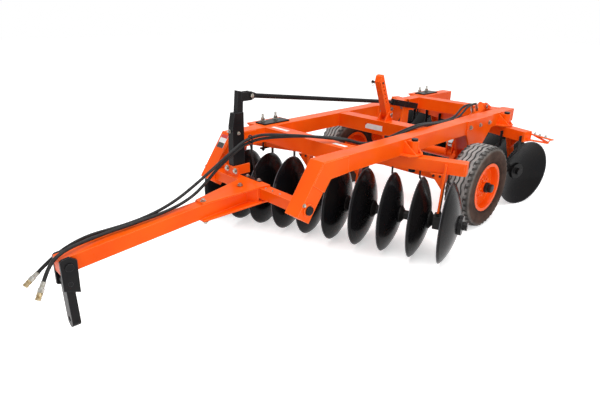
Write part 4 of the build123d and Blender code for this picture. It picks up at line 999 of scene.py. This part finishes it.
# The cap's section, as (out from the hub's end, radius).
CAP = [(-0.012, 0.0), (-0.012, 0.047), (0.010, 0.047), (0.014, 0.043), (0.016, 0.0)]
for which, side in WHEELS:
    body = f"{which}_wheel"
    centre = at(side * TRACK_HALF, *WHEEL_AXIS)
    outward = Vector((side, 0, 0))
    places = []
    for i in range(NUTS):
        angle = 2 * math.pi * i / NUTS
        spoke = Vector((0, math.cos(angle), math.sin(angle))) * NUT_CIRCLE
        places.append((centre + outward * RIM_FACE + spoke, outward))
    fasten(f"{which}_wheel_nuts", nut_on_stud(0.022, 0.026), places, orange, body)
    profile = [(side * (HUB_FACE + out), radius) for out, radius in CAP]
    cap = lathe(f"{which}_hub_cap", profile, centre, (1, 0, 0), 36)
    bpy.ops.mesh.primitive_cylinder_add(vertices=6, radius=0.041, depth=0.036,
                                        location=centre + outward * (HUB_FACE + 0.032),
                                        rotation=(0, math.pi / 2, 0))
    plug = soften(fix_place(newest("hub_plug")), 0.004, 3)
    settle(join(f"{which}_hub_cap", [cap, plug]), casting, body)

# %% [markdown]
# ## Hydraulic hoses
# Two hoses run from the cylinder over the frame and the tongue to quick couplers. Each is three
# lengths, for it crosses the cylinder's pin and the hitch. A NURBS spline drawn along a row of
# listed points is the hose's own smooth line. Each length is made a mesh, and the front one
# rides on the hitch.

# %% Hose lengths
HOSE_RADIUS = 0.011
HOSE_A = (
    (366, 2083, 996), (367, 2005, 996), (373, 1915, 983), (390, 1815, 948), (416, 1685, 918),
    (428, 1490, 914), (434, 1265, 923), (446, 1085, 947), (446, 935, 947), (437, 775, 926),
    (433, 650, 905), (433, 505, 892), (429, 365, 892), (410, 245, 909), (368, 155, 945),
    (303, 64, 962), (217, -20, 972), (121, -120, 982), (41, -240, 993), (-4, -345, 1004),
    (-20, -440, 1008), (-31, -540, 986), (-35, -630, 937), (-39, -725, 881), (-42, -833, 817),
    (-44, -960, 747), (-45, -1090, 682), (-46, -1222, 637), (-44, -1358, 613), (-46, -1490, 602),
    (-62, -1602, 595), (-82, -1704, 585), (-92, -1813, 556), (-98, -1923, 504), (-104, -2003, 440),
)
HOSE_B = (
    (334, 2045, 990), (335, 1965, 992), (343, 1872, 980), (362, 1775, 950), (388, 1650, 920),
    (398, 1480, 914), (404, 1262, 923), (416, 1082, 947), (416, 932, 947), (407, 772, 926),
    (403, 650, 905), (403, 505, 892), (399, 367, 892), (381, 255, 909), (342, 172, 945),
    (281, 88, 960), (198, 5, 967), (103, -96, 971), (25, -220, 972), (-13, -335, 976),
    (-25, -440, 977), (-37, -538, 955), (-47, -615, 911), (-56, -690, 865), (-57, -775, 812),
    (-50, -870, 740), (-38, -980, 676), (-25, -1105, 640), (-12, -1240, 624), (-12, -1350, 617),
    (-14, -1480, 606), (-24, -1615, 596), (-14, -1745, 588), (14, -1850, 588), (40, -1932, 571),
    (65, -1990, 527), (82, -2025, 470),
)
CLIP_RUN, RING_RUN = 10, 20     # the runs in whose middle the clip and the mast's ring hold a hose
HOSES = (("a", HOSE_A, (1.524, 1.218, 1.644)), ("b", HOSE_B, (1.486, 1.206, 1.688)))


def run_middle(points, run):
    """The drawing point halfway along a run."""
    return tuple((a + b) / 2 for a, b in zip(points[run], points[run + 1]))


def hose_mesh(name, points):
    """The hose as a tube with closed ends, and the points that its line runs through."""
    hose = nurbs(name, [at(*point) for point in points], 8)
    line = bpy.data.meshes.new_from_object(hose)
    path = [tuple(corner.co) for corner in line.vertices]
    tube = thicken(hose, HOSE_RADIUS, 5)
    tube.data.materials.clear()
    tube.data.materials.append(hose_cover)
    bpy.ops.object.shade_smooth_by_angle(angle=math.radians(50))
    return tube, path


def coupler(name, before, end):
    """Crimped ferrule, hexagon and quick coupler, turned along the hose's last run."""
    seat = facing(at(*end), at(*end) - at(*before))
    crimp = [(0.0, 0.0115), (0.0, 0.0138)]
    for i in range(4):
        start = 0.003 + 0.008 * i
        crimp += [(start, 0.0140), (start + 0.004, 0.0140),
                  (start + 0.005, 0.0130), (start + 0.007, 0.0130)]
    crimp += [(0.036, 0.0140), (0.036, 0.0115)]
    ferrule = lathe("ferrule", crimp, (0, 0, 0), (0, 0, 1), 28)
    bpy.ops.mesh.primitive_cylinder_add(vertices=6, radius=0.0188, depth=0.024,
                                        location=(0, 0, 0.048))
    nut = soften(fix_place(newest("coupler_hexagon")), 0.0012)
    body = lathe("coupler_body", [
        (0.060, 0.0), (0.060, 0.0135), (0.064, 0.0158), (0.082, 0.0158),
        (0.083, 0.0142), (0.088, 0.0142), (0.089, 0.0158), (0.102, 0.0158),
        (0.104, 0.0140), (0.104, 0.0095), (0.092, 0.0085), (0.092, 0.0),
    ], (0, 0, 0), (0, 0, 1), 28)
    silver = join(f"hose_{name}_ferrule", [ferrule, nut])
    silver.matrix_world = seat
    settle(silver, zinc, "hitch")
    body.name = f"hose_{name}_coupler"
    body.matrix_world = seat
    settle(body, yellow_zinc, "hitch")
    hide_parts("hose_couplers")
    return [silver, body]


for name, points, lengths in HOSES:
    clip, ring = run_middle(points, CLIP_RUN), run_middle(points, RING_RUN)
    rear, rear_path = hose_mesh(f"hose_{name}_to_clip", [*points[:CLIP_RUN + 1], clip])
    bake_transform(rear)
    mid_points = [clip, *points[CLIP_RUN + 1:RING_RUN + 1], ring]
    mid, mid_path = hose_mesh(f"hose_{name}_to_ring", mid_points)
    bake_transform(mid)
    front, front_path = hose_mesh(f"hose_{name}_to_coupler", [ring, *points[RING_RUN + 1:]])
    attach(front, "hitch")
    for tube, place in ((rear, "rear"), (mid, "middle"), (front, "front")):
        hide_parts(f"hose_{name}_{place}")
    coupler(name, points[-2], points[-1])
print("hoses of", [round(sum(lengths), 3) for _, _, lengths in HOSES], "metres")

# %% [markdown]
# ## Floor and light
# A white studio: a wide pale floor, a white world that only the camera and mirrors see at full
# strength, one large soft lamp overhead and a weaker one from the front left.

# %% Studio
FLOOR_GLOW = 0.52         # what the floor gives of its own to the camera and to mirrors
WORLD_LOW, WORLD_HIGH = 0.33, 0.92      # strength at the horizon and overhead
bpy.ops.mesh.primitive_plane_add(size=60.0, location=(0, 0, 0))
floor = newest("studio_floor")
floor_white = finish("studio_floor", (0.90, 0.90, 0.90), 0.9, gloss=0.0)
drift(floor_white, 0.5, (0.90, 0.90, 0.90), (0.91, 0.91, 0.91))
shader_of(floor_white).inputs["Emission Color"].default_value = (1.0, 1.0, 1.0, 1.0)
floor_glow = add(floor_white, "MapRange")
floor_glow.inputs["To Max"].default_value = FLOOR_GLOW
floor_rays = add(floor_white, "Math", operation="ADD")
for slot, ray in enumerate(("Is Camera Ray", "Is Glossy Ray")):
    link(floor_white, add(floor_white, "LightPath"), ray, floor_rays, slot)
link(floor_white, floor_rays, "Value", floor_glow, "Value")
link(floor_white, floor_glow, "Result", shader_of(floor_white), "Emission Strength")
floor.data.materials.append(floor_white)

world = bpy.data.worlds.new("studio")
bpy.context.scene.world = world
world.use_nodes = True
sky = world.node_tree.nodes["Background"]
sky.inputs["Color"].default_value = (1.0, 1.0, 1.0, 1.0)


def world_node(kind, *sources):
    """A node of the world with its first sockets fed by other nodes' outputs."""
    made = world.node_tree.nodes.new("ShaderNode" + kind)
    for socket, source in zip(made.inputs, sources):
        world.node_tree.links.new(source, socket)
    return made


direction = world_node("TexCoord").outputs["Generated"]
height = world_node("SeparateXYZ", direction).outputs["Z"]
dome = world_node("MapRange", height)
dome.inputs["To Min"].default_value = WORLD_LOW
dome.inputs["To Max"].default_value = WORLD_HIGH
strength = dome.outputs["Result"]
for ray in ("Is Camera Ray", "Is Glossy Ray", "Is Transmission Ray"):
    seen = world_node("Math", world_node("LightPath").outputs[ray], strength)
    seen.operation = "MAXIMUM"
    strength = seen.outputs[0]
world.node_tree.links.new(strength, sky.inputs["Strength"])


def soft_lamp(name, place, aim, size, watts):
    """A square area lamp that points at a target."""
    bpy.ops.object.light_add(type="AREA", location=place)
    lamp = bpy.context.object
    lamp.name = name
    lamp.data.size = size
    lamp.data.energy = watts
    lamp.rotation_euler = (Vector(aim) - Vector(place)).to_track_quat("-Z", "Y").to_euler()


soft_lamp("overhead", (1.0, -1.0, 6.0), (0, 0, 0.5), 5.0, 238.0)
soft_lamp("front_left", (6.5, -1.5, 3.2), (0, 0, 0.6), 3.0, 100.0)
bpy.context.scene.view_settings.view_transform = "Standard"
